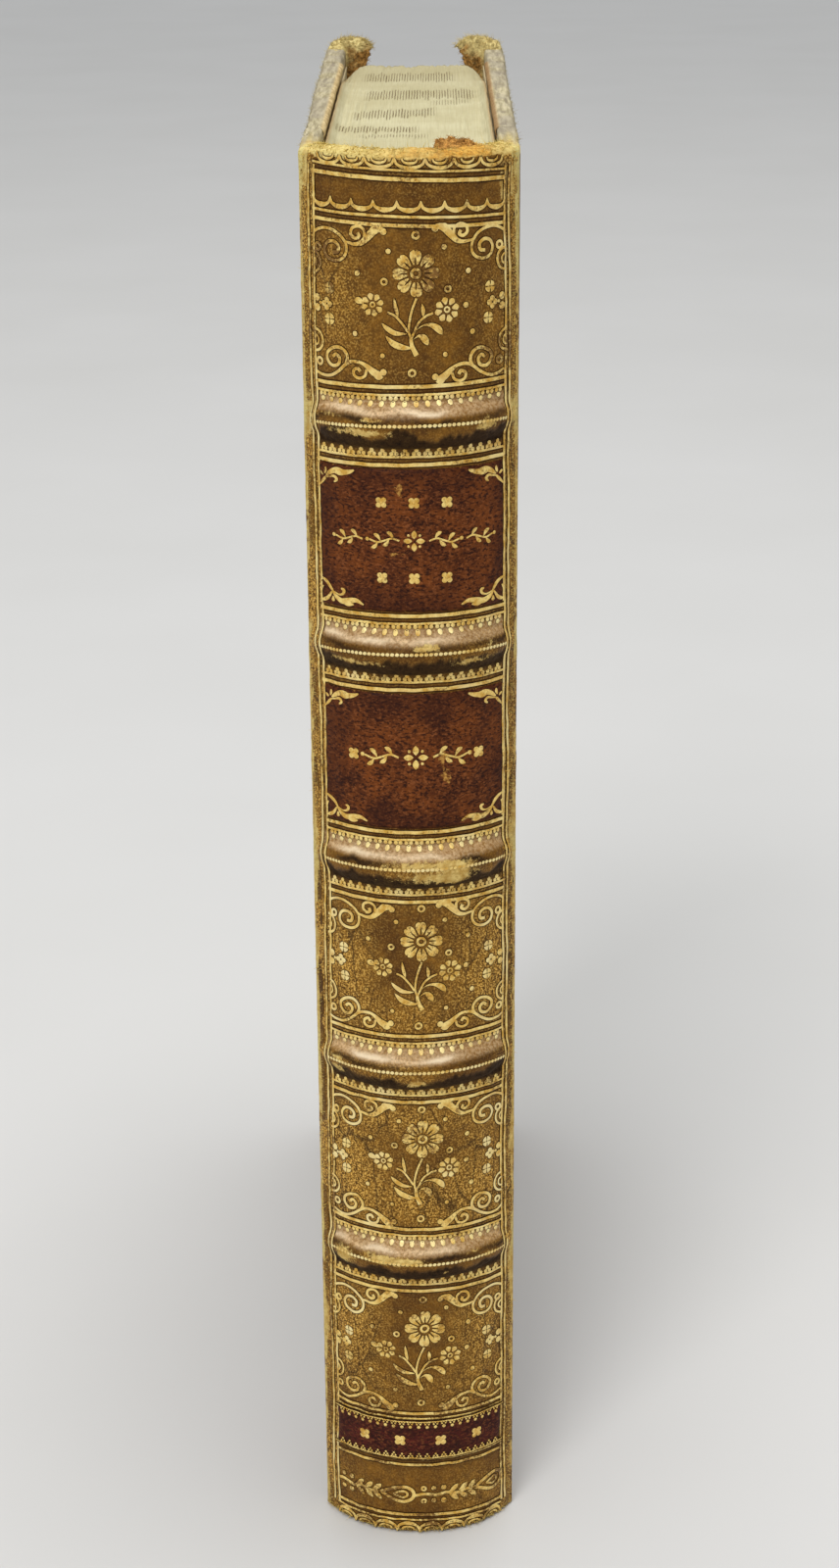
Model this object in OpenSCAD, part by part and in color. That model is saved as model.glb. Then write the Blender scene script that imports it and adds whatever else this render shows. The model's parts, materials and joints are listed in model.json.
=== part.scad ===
/* [Covers] */
// Height of a covered board from tail to head
cover_height = 176; // [160:1:200]
// Depth of a cover from its joint to the fore-edge
cover_depth = 107; // [95:0.5:125]
// Thickness of the bare board
board_thickness = 1.65; // [1.2:0.05:2.4]
// Distance by which the covers stand past the leaves on three sides
square_width = 2.2; // [1.6:0.1:4]
// Thickness of the covering leather
leather_thickness = 0.5; // [0.35:0.05:0.8]
// Thickness of the paper on the sides and inside the covers
paper_thickness = 0.15; // [0.1:0.05:0.3]
// Width of the spine leather's strip on each cover
side_strip = 16; // [12:0.5:24]
// Length of a leather corner along each edge of the cover
corner_leg = 22; // [15:0.5:30]
// Width of the leather and paper turned in on the inside of a cover
turn_in = 12; // [8:0.5:16]
// Distance from the edge of the board to the edge of the pastedown
pastedown_margin = 2; // [1:0.25:4]

/* [Leaves] */
// Thickness of the sewn leaves between the covers
block_thickness = 19.3; // [15:0.1:26]
// Space between the leaves and each closed cover
cover_gap = 0.15; // [0.1:0.05:0.3]

/* [Spine] */
// How far the rounded spine stands out from the joints
spine_round = 6.5; // [5:0.1:8]
// Thickness of the lining pasted on the backs of the folds
lining_thickness = 0.3; // [0.2:0.05:0.6]
// Width of the cap where the leather is folded over the leaves at head and tail
cap_thickness = 2.4; // [1.7:0.1:3]
// Radius of the cap's rounded edges
cap_round = 0.6; // [0.3:0.05:0.8]
// Gap on each side of the joint line
joint_gap = 0.15; // [0.1:0.05:0.25]

/* [Raised bands] */
// Height of the lowest band's middle above the tail
tail_panel_height = 40.5; // [36:0.5:46]
// Distance from the highest band's middle to the head
head_panel_height = 29.7; // [24:0.1:34]
// Width of a band where it leaves the spine
band_width = 5.4; // [4:0.1:6]
// Height of a band above the spine at the middle of its arc
band_height = 1.9; // [1.2:0.1:2.4]
// Width of a laced-in cord slip at the joint
slip_width = 3.4; // [2.5:0.1:4.5]
// Width of a frayed-out slip at its far end
slip_spread = 7; // [5:0.25:10]
// Length of a slip on its board
slip_length = 11; // [8:0.5:12]
// Depth of the recess that takes a slip
slip_depth = 0.6; // [0.3:0.05:0.8]

/* [Labels] */
// Distance along the spine's curve from the joint to the edge of a label
label_inset = 2.6; // [1.5:0.1:4]
// Distance from a band's middle to the edge of a full-panel label
label_margin = 4.9; // [3.6:0.1:6]
// Thickness of a pared leather label
label_thickness = 0.2; // [0.1:0.05:0.3]
// Height of the date label's lower edge above the tail
date_base = 11.6; // [8:0.1:16]
// Height of the date label
date_height = 5.2; // [4:0.1:8]

/* [Tooled lines] */
// Width of an impressed line
line_width = 0.35; // [0.2:0.05:0.5]
// Depth of an impressed line
line_depth = 0.15; // [0.05:0.05:0.25]
// Distance from a band's middle to the nearer of its two lines
line_offset = 3.5; // [3.2:0.1:4]
// Distance between the two lines of a pair
line_spacing = 0.95; // [0.6:0.05:1.2]
// Distance along the spine's curve from the joint to the outer upright line
upright_inset = 1.75; // [1.2:0.05:2.5]
// Distance between the two upright lines
upright_spacing = 0.65; // [0.5:0.05:1]
// Distance from the head to the middle of the upper pair of lines
head_line = 2.2; // [1.8:0.1:4]
// Distance from the head to the middle of the lower pair of lines
head_panel_line = 7.1; // [5.5:0.1:9]
// Height of the lowest pair's middle above the tail
tail_line = 2.1; // [1.8:0.1:4]
// Distance from the date label's edge to the middle of the pair beside it
date_line = 0.95; // [0.8:0.05:2]

/* [Hidden] */
$fn = 96;
BAND_COUNT = 5;
overcut = 1;

board_inner_x = block_thickness / 2 + cover_gap + paper_thickness;
board_outer_x = board_inner_x + board_thickness;
half_width = board_outer_x + leather_thickness;
board_depth = cover_depth - leather_thickness;

spine_reach = spine_round + band_height;
joint_y = (spine_reach - cover_depth) / 2;

spine_radius = (half_width * half_width + spine_round * spine_round) / (2 * spine_round);
spine_axis_y = joint_y - spine_round + spine_radius;
lining_radius = spine_radius - leather_thickness;
block_radius = lining_radius - lining_thickness;
spine_half_angle = asin(half_width / spine_radius);
degrees_per_mm = 180 / (PI * spine_radius);

crest_radius = (half_width * half_width + spine_reach * spine_reach) / (2 * spine_reach);
crest_axis_y = joint_y - spine_reach + crest_radius;
band_section_radius = (band_width * band_width / 4 + band_height * band_height) / (2 * band_height);
band_centre_radius = crest_radius - band_section_radius;
band_spacing = (cover_height - head_panel_height - tail_panel_height) / (BAND_COUNT - 1);

block_height = cover_height - 2 * square_width;
fore_edge_y = joint_y + cover_depth - square_width;

function band_z(index) = tail_panel_height + (index - 1) * band_spacing;

leather_color = [0.43, 0.32, 0.18];
label_color = [0.35, 0.14, 0.11];
leaf_color = [0.87, 0.81, 0.66];
lining_color = [0.72, 0.66, 0.52];
cord_color = [0.76, 0.68, 0.5];
board_color = [0.62, 0.54, 0.42];
side_color = [0.5, 0.46, 0.48];
pastedown_color = [0.9, 0.86, 0.74];

// Keeps what lies on the spine's side of the joint line, over the whole height
module spine_side() {
    intersection() {
        children();
        translate([-2 * half_width, joint_y - 2 * spine_reach, -overcut])
            cube([4 * half_width, 2 * spine_reach - joint_gap, cover_height + 2 * overcut]);
    }
}

// Turns a flat radius and height profile about the axis of the rounded spine
module about_spine() {
    translate([0, spine_axis_y, 0]) rotate_extrude() children();
}

// Part of a turned profile that covers the given length of the spine's curve on each side
module arc_on_spine(half_arc) {
    half_turn = half_arc * degrees_per_mm;
    translate([0, spine_axis_y, 0])
        rotate([0, 0, -90 - half_turn])
            rotate_extrude(angle = 2 * half_turn) children();
}

// Round rod bent to the line of one band, closer to the spine towards the joints
module bent_rod(index, section_radius) {
    translate([0, crest_axis_y, band_z(index)])
        rotate_extrude()
            translate([band_centre_radius, 0]) circle(r = section_radius);
}

module leaves_outline() {
    difference() {
        union() {
            intersection() {
                translate([0, spine_axis_y]) circle(r = block_radius);
                translate([-half_width, joint_y - spine_reach])
                    square([2 * half_width, spine_reach - joint_gap]);
            }
            translate([-block_thickness / 2, joint_y - joint_gap])
                square([block_thickness, fore_edge_y - joint_y + joint_gap]);
        }
        translate([0, fore_edge_y + sqrt(pow(block_radius, 2) - pow(block_thickness / 2, 2))])
            circle(r = block_radius);
    }
}

module text_block() {
    color(leaf_color)
        translate([0, 0, square_width])
            linear_extrude(block_height) leaves_outline();
}

module spine_lining() {
    color(lining_color)
        difference() {
            spine_side()
                about_spine()
                    translate([block_radius, square_width])
                        square([lining_thickness, block_height]);
            for (index = [1:BAND_COUNT])
                bent_rod(index, band_section_radius - leather_thickness);
        }
}

module sewing_cord(index) {
    color(cord_color)
        spine_side()
            difference() {
                bent_rod(index, band_section_radius - leather_thickness);
                translate([0, spine_axis_y, 0]) cylinder(r = block_radius, h = cover_height);
            }
}

// Section of the spine leather, folded over into a cap with rounded edges at head and tail
module spine_leather_section() {
    translate([lining_radius, cap_round])
        square([leather_thickness, cover_height - 2 * cap_round]);
    for (low = [cap_round, cover_height - square_width])
        translate([spine_radius - cap_thickness, low])
            square([cap_thickness, square_width - cap_round]);
    for (low = [0, cover_height - cap_round])
        translate([spine_radius - cap_thickness + cap_round, low])
            square([cap_thickness - 2 * cap_round, cap_round]);
    for (middle = [cap_round, cover_height - cap_round], inward = [cap_round, cap_thickness - cap_round])
        translate([spine_radius - inward, middle]) circle(r = cap_round);
}

module ring_line(height) {
    arc_on_spine(spine_half_angle / degrees_per_mm - upright_inset - upright_spacing)
        translate([spine_radius - line_depth, height - line_width / 2])
            square([line_depth + overcut, line_width]);
}

module ring_pair(height) {
    for (side = [-1, 1]) ring_line(height + side * line_spacing / 2);
}

module upright_line(arc_from_joint) {
    turn = spine_half_angle - arc_from_joint * degrees_per_mm;
    for (side = [-1, 1])
        translate([0, spine_axis_y, 0])
            rotate([0, 0, side * turn - 90])
                translate([spine_radius - line_depth, -line_width / 2, -overcut])
                    cube([line_depth + band_height, line_width, cover_height + 2 * overcut]);
}

module tooled_lines() {
    for (index = [1:BAND_COUNT], side = [-1, 1])
        ring_pair(band_z(index) + side * (line_offset + line_spacing / 2));
    ring_pair(cover_height - head_line);
    ring_pair(cover_height - head_panel_line);
    ring_pair(tail_line);
    ring_pair(date_base - date_line);
    ring_pair(date_base + date_height + date_line);
    upright_line(upright_inset);
    upright_line(upright_inset + upright_spacing);
}

module spine_leather() {
    color(leather_color)
        difference() {
            spine_side()
                union() {
                    about_spine() spine_leather_section();
                    difference() {
                        for (index = [1:BAND_COUNT]) bent_rod(index, band_section_radius);
                        translate([0, spine_axis_y, 0])
                            cylinder(r = lining_radius, h = cover_height);
                    }
                }
            for (index = [1:BAND_COUNT])
                bent_rod(index, band_section_radius - leather_thickness);
            tooled_lines();
        }
}

module label(base, height) {
    color(label_color)
        arc_on_spine(spine_half_angle / degrees_per_mm - label_inset)
            translate([spine_radius, base]) square([label_thickness, height]);
}

module panel_label(band_below) {
    label(band_z(band_below) + label_margin, band_spacing - 2 * label_margin);
}

module title_label() {
    panel_label(4);
}

module author_label() {
    panel_label(3);
}

module date_label() {
    label(date_base, date_height);
}

// Stands a flat depth and height shape upright, from one distance off the middle to another
module slab(inner_x, outer_x) {
    translate([inner_x, joint_y, 0])
        rotate([90, 0, 90])
            linear_extrude(outer_x - inner_x) children();
}

// Outline of a cover whose bare board is grown by the given thickness at its three free edges
module cover_outline(grown) {
    translate([joint_gap, leather_thickness - grown])
        square([board_depth - joint_gap + grown, cover_height + 2 * (grown - leather_thickness)]);
}

// Outline inside the turned-in edges
module open_middle() {
    translate([-overcut, leather_thickness + turn_in])
        square([board_depth - turn_in + overcut, cover_height - 2 * (leather_thickness + turn_in)]);
}

module strip_zone() {
    translate([0, -overcut]) square([side_strip, cover_height + 2 * overcut]);
}

module corner_zone(upper) {
    tip = upper ? cover_height : 0;
    inward = upper ? -1 : 1;
    polygon([
        [cover_depth + overcut, tip - inward * overcut],
        [cover_depth + overcut, tip + inward * (corner_leg + overcut)],
        [cover_depth - corner_leg - overcut, tip - inward * overcut]
    ]);
}

// Where a covering of this thickness is turned in on the board's inner face
module turned_in(thickness) {
    intersection() {
        difference() {
            cover_outline(thickness);
            open_middle();
        }
        children();
    }
}

// Sheet of the given thickness over the outer face, the edges and the turn-ins, within a flat zone
module wrapped(thickness) {
    slab(board_outer_x, board_outer_x + thickness)
        intersection() {
            cover_outline(thickness);
            children();
        }
    slab(board_inner_x + thickness, board_outer_x)
        intersection() {
            difference() {
                cover_outline(thickness);
                cover_outline(0);
            }
            children();
        }
    slab(board_inner_x, board_inner_x + thickness) turned_in(thickness) children();
}

module paper_zone() {
    difference() {
        translate([side_strip, 0]) square([cover_depth, cover_height]);
        corner_zone(true);
        corner_zone(false);
    }
}

module leather_zone() {
    strip_zone();
    corner_zone(true);
    corner_zone(false);
}

module slip_outlines() {
    for (index = [1:BAND_COUNT])
        translate([joint_gap, band_z(index)])
            polygon([
                [0, -slip_width / 2],
                [slip_length, -slip_spread / 2],
                [slip_length, slip_spread / 2],
                [0, slip_width / 2]
            ]);
}

module board() {
    color(board_color)
        difference() {
            slab(board_inner_x, board_outer_x) cover_outline(0);
            slab(board_inner_x - overcut, board_inner_x + leather_thickness)
                turned_in(overcut) leather_zone();
            slab(board_inner_x - overcut, board_inner_x + paper_thickness)
                turned_in(overcut) paper_zone();
            slab(board_outer_x - slip_depth, board_outer_x + overcut) slip_outlines();
        }
}

module cord_slips() {
    color(cord_color) slab(board_outer_x - slip_depth, board_outer_x) slip_outlines();
}

module leather_side() {
    color(leather_color) wrapped(leather_thickness) strip_zone();
}

module paper_side() {
    color(side_color) wrapped(paper_thickness) paper_zone();
}

module corner(upper) {
    color(leather_color) wrapped(leather_thickness) corner_zone(upper);
}

module pastedown() {
    color(pastedown_color)
        slab(board_inner_x - paper_thickness, board_inner_x)
            translate([joint_gap, leather_thickness + pastedown_margin])
                square([
                    board_depth - joint_gap - pastedown_margin,
                    cover_height - 2 * (leather_thickness + pastedown_margin)
                ]);
}

module back_side() {
    mirror([1, 0, 0]) children();
}

text_block();
spine_lining();
sewing_cord(1);  // sewing_cord_1
sewing_cord(2);  // sewing_cord_2
sewing_cord(3);  // sewing_cord_3
sewing_cord(4);  // sewing_cord_4
sewing_cord(5);  // sewing_cord_5
spine_leather();
title_label();
author_label();
date_label();
board();  // front_board
cord_slips();  // front_cord_slips
leather_side();  // front_leather_side
paper_side();  // front_paper_side
corner(true);  // front_top_corner
corner(false);  // front_bottom_corner
pastedown();  // front_pastedown
back_side() board();  // back_board
back_side() cord_slips();  // back_cord_slips
back_side() leather_side();  // back_leather_side
back_side() paper_side();  // back_paper_side
back_side() corner(true);  // back_top_corner
back_side() corner(false);  // back_bottom_corner
back_side() pastedown();  // back_pastedown
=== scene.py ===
"""Antique half-leather book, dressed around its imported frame.

Lengths are in millimetres until a mesh is made.
"""
import json
import math

import bmesh
import bpy
import numpy as np
from mathutils import Euler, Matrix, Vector


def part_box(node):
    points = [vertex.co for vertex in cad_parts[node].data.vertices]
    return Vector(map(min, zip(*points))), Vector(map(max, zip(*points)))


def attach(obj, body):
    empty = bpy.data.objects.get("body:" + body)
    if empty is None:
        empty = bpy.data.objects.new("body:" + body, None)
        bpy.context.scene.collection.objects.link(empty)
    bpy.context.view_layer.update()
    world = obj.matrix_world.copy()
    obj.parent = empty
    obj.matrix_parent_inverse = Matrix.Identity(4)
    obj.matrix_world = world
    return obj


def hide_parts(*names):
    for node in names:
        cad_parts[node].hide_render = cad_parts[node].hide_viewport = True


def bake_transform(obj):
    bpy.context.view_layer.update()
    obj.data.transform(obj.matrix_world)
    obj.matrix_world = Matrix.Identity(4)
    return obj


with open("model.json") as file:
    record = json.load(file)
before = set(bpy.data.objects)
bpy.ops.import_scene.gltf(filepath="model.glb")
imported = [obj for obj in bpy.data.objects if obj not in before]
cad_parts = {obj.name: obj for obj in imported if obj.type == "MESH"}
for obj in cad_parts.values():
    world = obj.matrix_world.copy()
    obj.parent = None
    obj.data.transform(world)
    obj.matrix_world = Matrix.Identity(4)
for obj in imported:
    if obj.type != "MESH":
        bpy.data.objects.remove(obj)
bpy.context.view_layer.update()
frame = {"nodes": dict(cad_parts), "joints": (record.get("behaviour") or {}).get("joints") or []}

MM = 0.001
ROOT = "book_block"
SIDES = {"front": 1, "back": -1}


def box_mm(node):
    """Lowest and highest corner of a CAD node, in millimetres."""
    low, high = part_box(node)
    return np.array(low) / MM, np.array(high) / MM


# Sizes that come from the frame
LEATHER_HIGH = box_mm("front_leather_side")[1]
PAPER_HIGH = box_mm("front_paper_side")[1]
CORNER_LOW = box_mm("front_top_corner")[0]
BOARD_LOW, BOARD_HIGH = box_mm("front_board")
BLOCK_LOW, BLOCK_HIGH = box_mm("text_block")
SPINE_LOW = box_mm("spine_leather")[0]
HEIGHT = LEATHER_HIGH[2]
HALF_WIDTH = LEATHER_HIGH[0]
JOINT_Y = frame["joints"][0]["pos_m"][1] / MM
CORDS = range(1, 6)
BAND_Z = [sum(box_mm(f"sewing_cord_{index}")[i][2] for i in (0, 1)) / 2 for index in CORDS]

# Sizes of the leather shell, as the solids have them
LEATHER = 0.5
BAND_RISE = 1.9
BAND_WIDTH = 5.4
CAP = 2.4
CAP_DEPTH = HEIGHT - BLOCK_HIGH[2]
LABEL_RISE = 0.2
JOINT_GAP = 0.15

# Circles of the spine: its round back, the crest of a band, and the section across a band
ROUND = JOINT_Y - SPINE_LOW[1] - BAND_RISE
RADIUS = (HALF_WIDTH ** 2 + ROUND ** 2) / (2 * ROUND)
AXIS_Y = JOINT_Y - ROUND + RADIUS
REACH = ROUND + BAND_RISE
CREST_RADIUS = (HALF_WIDTH ** 2 + REACH ** 2) / (2 * REACH)
CREST_SHIFT = (AXIS_Y - RADIUS) - (JOINT_Y - REACH) + RADIUS - CREST_RADIUS
SECTION_RADIUS = (BAND_WIDTH ** 2 / 4 + BAND_RISE ** 2) / (2 * BAND_RISE)
HALF_ARC = RADIUS * math.acos((RADIUS - ROUND + JOINT_GAP) / RADIUS)

# Soft rounding at the foot of a band, and how deep the uneven skin lies in the solid's face
BAND_FOOT = 0.12
SKIN_SINK = 0.08

# Folded ends of the spine's skin: distance in from its face, and height over the end's plane
HEAD_EDGE = [
    (0.02, -0.9), (0.07, -0.66), (0.18, -0.42), (0.38, -0.18), (0.68, 0.04),
    (1.05, 0.22), (1.45, 0.34), (1.85, 0.38), (2.15, 0.3), (2.35, 0.06),
]
TAIL_EDGE = [(2.1, 0.0), (1.2, 0.0), (0.6, 0.03), (0.3, 0.12), (0.1, 0.32), (0.02, 0.5)]


def stack(*parts):
    """Points from their coordinates, each a number or an array."""
    return np.stack(np.broadcast_arrays(*parts), -1)


class Waves:
    """Smooth random height field of unit spread, made of plane waves about one wavelength long."""

    def __init__(self, seed, wavelength, count=16, stretch=(1, 1)):
        draw = np.random.default_rng(seed)
        heading = draw.uniform(0, 2 * np.pi, count)
        pace = 2 * np.pi / wavelength * draw.uniform(0.6, 1.5, count)
        self.a = pace * np.cos(heading) / stretch[0]
        self.b = pace * np.sin(heading) / stretch[1]
        self.phase = draw.uniform(0, 2 * np.pi, count)

    def __call__(self, a, b):
        a, b = np.broadcast_arrays(np.asarray(a, float), np.asarray(b, float))
        total = np.zeros(a.shape)
        for ka, kb, phase in zip(self.a, self.b, self.phase):
            total += np.sin(ka * a + kb * b + phase)
        return total * math.sqrt(2 / len(self.phase))


def step(value, low, high):
    """Smooth step from 0 at low to 1 at high."""
    t = np.clip((np.asarray(value, float) - low) / (high - low), 0, 1)
    return t * t * (3 - 2 * t)


SWELL = Waves(3, 17)
DIMPLE = Waves(4, 3.2)
PORE = Waves(5, 1.1)


def band_rise(u, z):
    """Height of the raised bands over the rounded spine at arc length u and height z."""
    angle = np.asarray(u, float) / RADIUS
    chord = np.sqrt(CREST_RADIUS ** 2 - (CREST_SHIFT * np.sin(angle)) ** 2)
    crest = CREST_SHIFT * np.cos(angle) + chord - RADIUS
    rise = np.zeros(np.broadcast(angle, z).shape)
    for middle in BAND_Z:
        away = np.abs(z - middle)
        dome = np.sqrt(np.clip(SECTION_RADIUS ** 2 - away ** 2, 0, None)) - SECTION_RADIUS + crest
        dome = np.where(away < SECTION_RADIUS, dome, -SECTION_RADIUS)
        rise = rise + (dome + np.sqrt(dome ** 2 + BAND_FOOT ** 2)) / 2 * (away < BAND_WIDTH)
    return rise


def relief(u, z):
    """Hand-made unevenness of the covered spine."""
    return 0.05 * SWELL(u, z) + 0.028 * DIMPLE(u, z) + 0.01 * PORE(u, z)


def spine_point(u, z, lift=0.0):
    """Place in space of the spine's surface at arc length u and height z, raised by lift."""
    u, z, lift = np.broadcast_arrays(np.asarray(u, float), np.asarray(z, float), np.asarray(lift, float))
    angle = u / RADIUS
    r = RADIUS + band_rise(u, z) + relief(u, z) - SKIN_SINK + lift
    return stack(r * np.sin(angle), AXIS_Y - r * np.cos(angle), z)


def srgb(red, green, blue):
    """Colour of 0 to 255 values as a linear colour."""
    linear = []
    for value in (red, green, blue):
        c = value / 255
        linear.append(c / 12.92 if c <= 0.04045 else ((c + 0.055) / 1.055) ** 2.4)
    return (*linear, 1.0)


class Paint:
    """Node tree of one material, built by short calls. Colours are tuples of 0 to 255 values."""

    def __init__(self, name, roughness=0.6, metallic=0.0, specular=0.4):
        self.material = bpy.data.materials.new(name)
        self.material.use_nodes = True
        self.tree = self.material.node_tree
        self.shader = self.tree.nodes["Principled BSDF"]
        self.shader.inputs["Roughness"].default_value = roughness
        self.shader.inputs["Metallic"].default_value = metallic
        self.shader.inputs["Specular IOR Level"].default_value = specular
        self.place = self.node("TexCoord", out="Object")

    def node(self, kind, out=0, feed=None, **settings):
        """Adds a node, feeds its inputs by name or number, and gives one of its outputs."""
        made = self.tree.nodes.new("ShaderNode" + kind)
        for key, value in settings.items():
            setattr(made, key, value)
        for key, value in (feed or {}).items():
            self.feed(made.inputs[key], value)
        return made.outputs[out]

    def feed(self, socket, value):
        """Links a node's output to the socket, or sets the socket's value."""
        if isinstance(value, bpy.types.NodeSocket):
            self.tree.links.new(value, socket)
        else:
            socket.default_value = value

    def stretched(self, stretch):
        """Place on the object, scaled along x, y and z. Under 1 makes features longer."""
        return self.node("Mapping", feed={"Vector": self.place, "Scale": stretch})

    def noise(self, size, detail=3.0, rough=0.55, stretch=None, out=0):
        """Noise whose features are about size millimetres long."""
        place = self.stretched(stretch) if stretch else self.place
        feed = {"Vector": place, "Scale": 1 / (size * MM), "Detail": detail, "Roughness": rough}
        return self.node("TexNoise", out=out, feed=feed)

    def cells(self, size, feature="F1", out="Distance", place=None):
        """Cells about size millimetres wide."""
        feed = {"Vector": self.place if place is None else place, "Scale": 1 / (size * MM)}
        return self.node("TexVoronoi", out=out, feed=feed, feature=feature)

    def span(self, value, low, high, to_low=0.0, to_high=1.0):
        """Maps low to to_low and high to to_high, and stays level beyond them."""
        feed = {"Value": value, "From Min": low, "From Max": high, "To Min": to_low, "To Max": to_high}
        return self.node("MapRange", feed=feed)

    def math(self, operation, a, b):
        """Two numbers put together."""
        return self.node("Math", feed={0: a, 1: b}, operation=operation)

    def plus(self, a, b):
        """Sum of two numbers."""
        return self.math("ADD", a, b)

    def times(self, a, b):
        """Product of two numbers."""
        return self.math("MULTIPLY", a, b)

    def mix(self, amount, *pair):
        """From the first colour to the second as amount goes from 0 to 1."""
        a, b = (srgb(*color) if isinstance(color, tuple) else color for color in pair)
        return self.node("Mix", out=2, feed={0: amount, 6: a, 7: b}, data_type="RGBA")

    def layer(self, name):
        """A number kept on the mesh's points."""
        return self.node("Attribute", out="Fac", attribute_name=name)

    def ragged(self, name, noise, low, high, amount):
        """A layer of the mesh with noise added, so that its border is ragged."""
        return self.plus(self.layer(name), self.span(noise, low, high, -amount, amount))

    def bump(self, height, depth, strength=1.0, under=None):
        """Bump of a height from 0 to 1 that stands for depth millimetres."""
        feed = {"Height": height, "Distance": depth * MM, "Strength": strength}
        if under is not None:
            feed["Normal"] = under
        return self.node("Bump", out="Normal", feed=feed)

    def finish(self, color, roughness=None, normal=None, metallic=None):
        """Feeds the shader what varies over the surface, and gives the material."""
        varied = {"Base Color": color, "Roughness": roughness, "Normal": normal, "Metallic": metallic}
        for key, value in varied.items():
            if value is not None:
                self.feed(self.shader.inputs[key], value)
        return self.material


def bare_fibre(paint):
    """Grey-beige fibre of a worn edge, with darker streaks along the board."""
    tuft = paint.noise(0.5, 3, 0.6, stretch=(1, 0.09, 1))
    streak = paint.noise(1.1, 3, 0.6, stretch=(1, 0.12, 1))
    broad = paint.noise(7, 3, 0.6)
    color = paint.mix(paint.span(tuft, 0.4, 0.6), (154, 142, 108), (200, 188, 152))
    color = paint.mix(paint.span(broad, 0.4, 0.62, 0.0, 0.55), color, (148, 138, 124))
    return paint.mix(paint.span(streak, 0.55, 0.68, 0.0, 0.7), color, (130, 118, 100))


def calf_leather():
    """Mottled brown calf, tan where it is rubbed through, with painted shade under the bands and along the
    tooled lines and a painted sheen and highlight streak on the bands' upper slopes.
    """
    paint = Paint("calf leather", specular=0.15)
    mottle = paint.noise(5.5, 4, 0.62)
    fleck = paint.noise(0.9, 5, 0.75)
    grain = paint.cells(0.42)
    pores = paint.noise(0.21, 2, 0.6)
    fade, pale = paint.layer("fade"), paint.layer("pale")
    color = paint.mix(paint.span(mottle, 0.34, 0.66), (92, 56, 11), (140, 95, 27))
    color = paint.mix(paint.times(fade, 0.6), color, (194, 142, 52))
    color = paint.mix(paint.span(fleck, 0.42, 0.6, 0.0, 0.5), color, (76, 48, 15))
    light_pores = paint.times(paint.span(pores, 0.52, 0.62), paint.plus(fade, 0.12))
    color = paint.mix(light_pores, color, (236, 188, 94))
    dark_pores = paint.times(paint.span(pores, 0.47, 0.37), paint.span(fade, 0.0, 0.8, 0.24, 0.9))
    color = paint.mix(dark_pores, color, (52, 29, 5))
    cracks = paint.cells(3.2, "DISTANCE_TO_EDGE", place=paint.stretched((1, 1, 0.28)))
    cracked = paint.times(paint.span(cracks, 0.0, 0.035, 0.7, 0.0), paint.span(fade, 0.1, 0.5))
    color = paint.mix(cracked, color, (50, 29, 8))
    # Painted sheen: the bands' upper slopes are painted a light pinkish tan, with a whiter painted highlight
    # streak on them; the same layer makes them less rough.
    polish_and_painted_sheen = paint.layer("polish_and_painted_sheen")
    painted_sheen = paint.mix(paint.span(paint.noise(0.35, 4, 0.7), 0.38, 0.6), (164, 122, 70), (240, 204, 154))
    color = paint.mix(paint.times(polish_and_painted_sheen, 0.95), color, painted_sheen)
    color = paint.mix(paint.times(polish_and_painted_sheen, pale), color, (248, 226, 190))
    # Painted shade, near black, under each band. The same layer darkens a line along each band's crest, and
    # the leather along the tooled lines, partly as painted shade of their impressions and partly as patina.
    dark = paint.times(paint.layer("dark"), paint.span(fleck, 0.34, 0.6, 1.0, 0.8))
    color = paint.mix(dark, color, (30, 15, 1))
    worn = paint.span(paint.ragged("wear", paint.noise(0.8, 6, 0.85), 0.32, 0.68, 0.4), 0.42, 0.6)
    tan = paint.mix(paint.span(paint.noise(1.1, 4, 0.7), 0.35, 0.65), (184, 142, 66), (232, 203, 126))
    tan = paint.mix(pale, tan, (221, 205, 134))
    strands = paint.noise(0.3, 3, 0.7, stretch=(0.22, 1, 1))
    tan = paint.mix(paint.span(strands, 0.5, 0.64, 0.0, 0.5), tan, (160, 124, 58))
    color = paint.mix(worn, color, tan)
    color = paint.mix(paint.layer("bare"), color, bare_fibre(paint))
    raw = paint.span(paint.ragged("raw", fleck, 0.3, 0.7, 0.3), 0.3, 0.72)
    torn = paint.mix(paint.span(pores, 0.35, 0.65), (196, 136, 48), (232, 184, 90))
    torn = paint.mix(paint.span(strands, 0.46, 0.6, 0.0, 0.6), torn, (150, 100, 42))
    color = paint.mix(raw, color, torn)
    matt = paint.math("MAXIMUM", paint.times(dark, 0.85), paint.times(worn, 0.88))
    roughness = paint.math("MAXIMUM", paint.span(polish_and_painted_sheen, 0.0, 1.0, 0.52, 0.38), matt)
    height = paint.plus(paint.times(grain, 0.6), paint.times(pores, 0.5))
    return paint.finish(color, roughness, paint.bump(height, 0.06, 0.8, paint.bump(fleck, 0.08, 0.6)))


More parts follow.
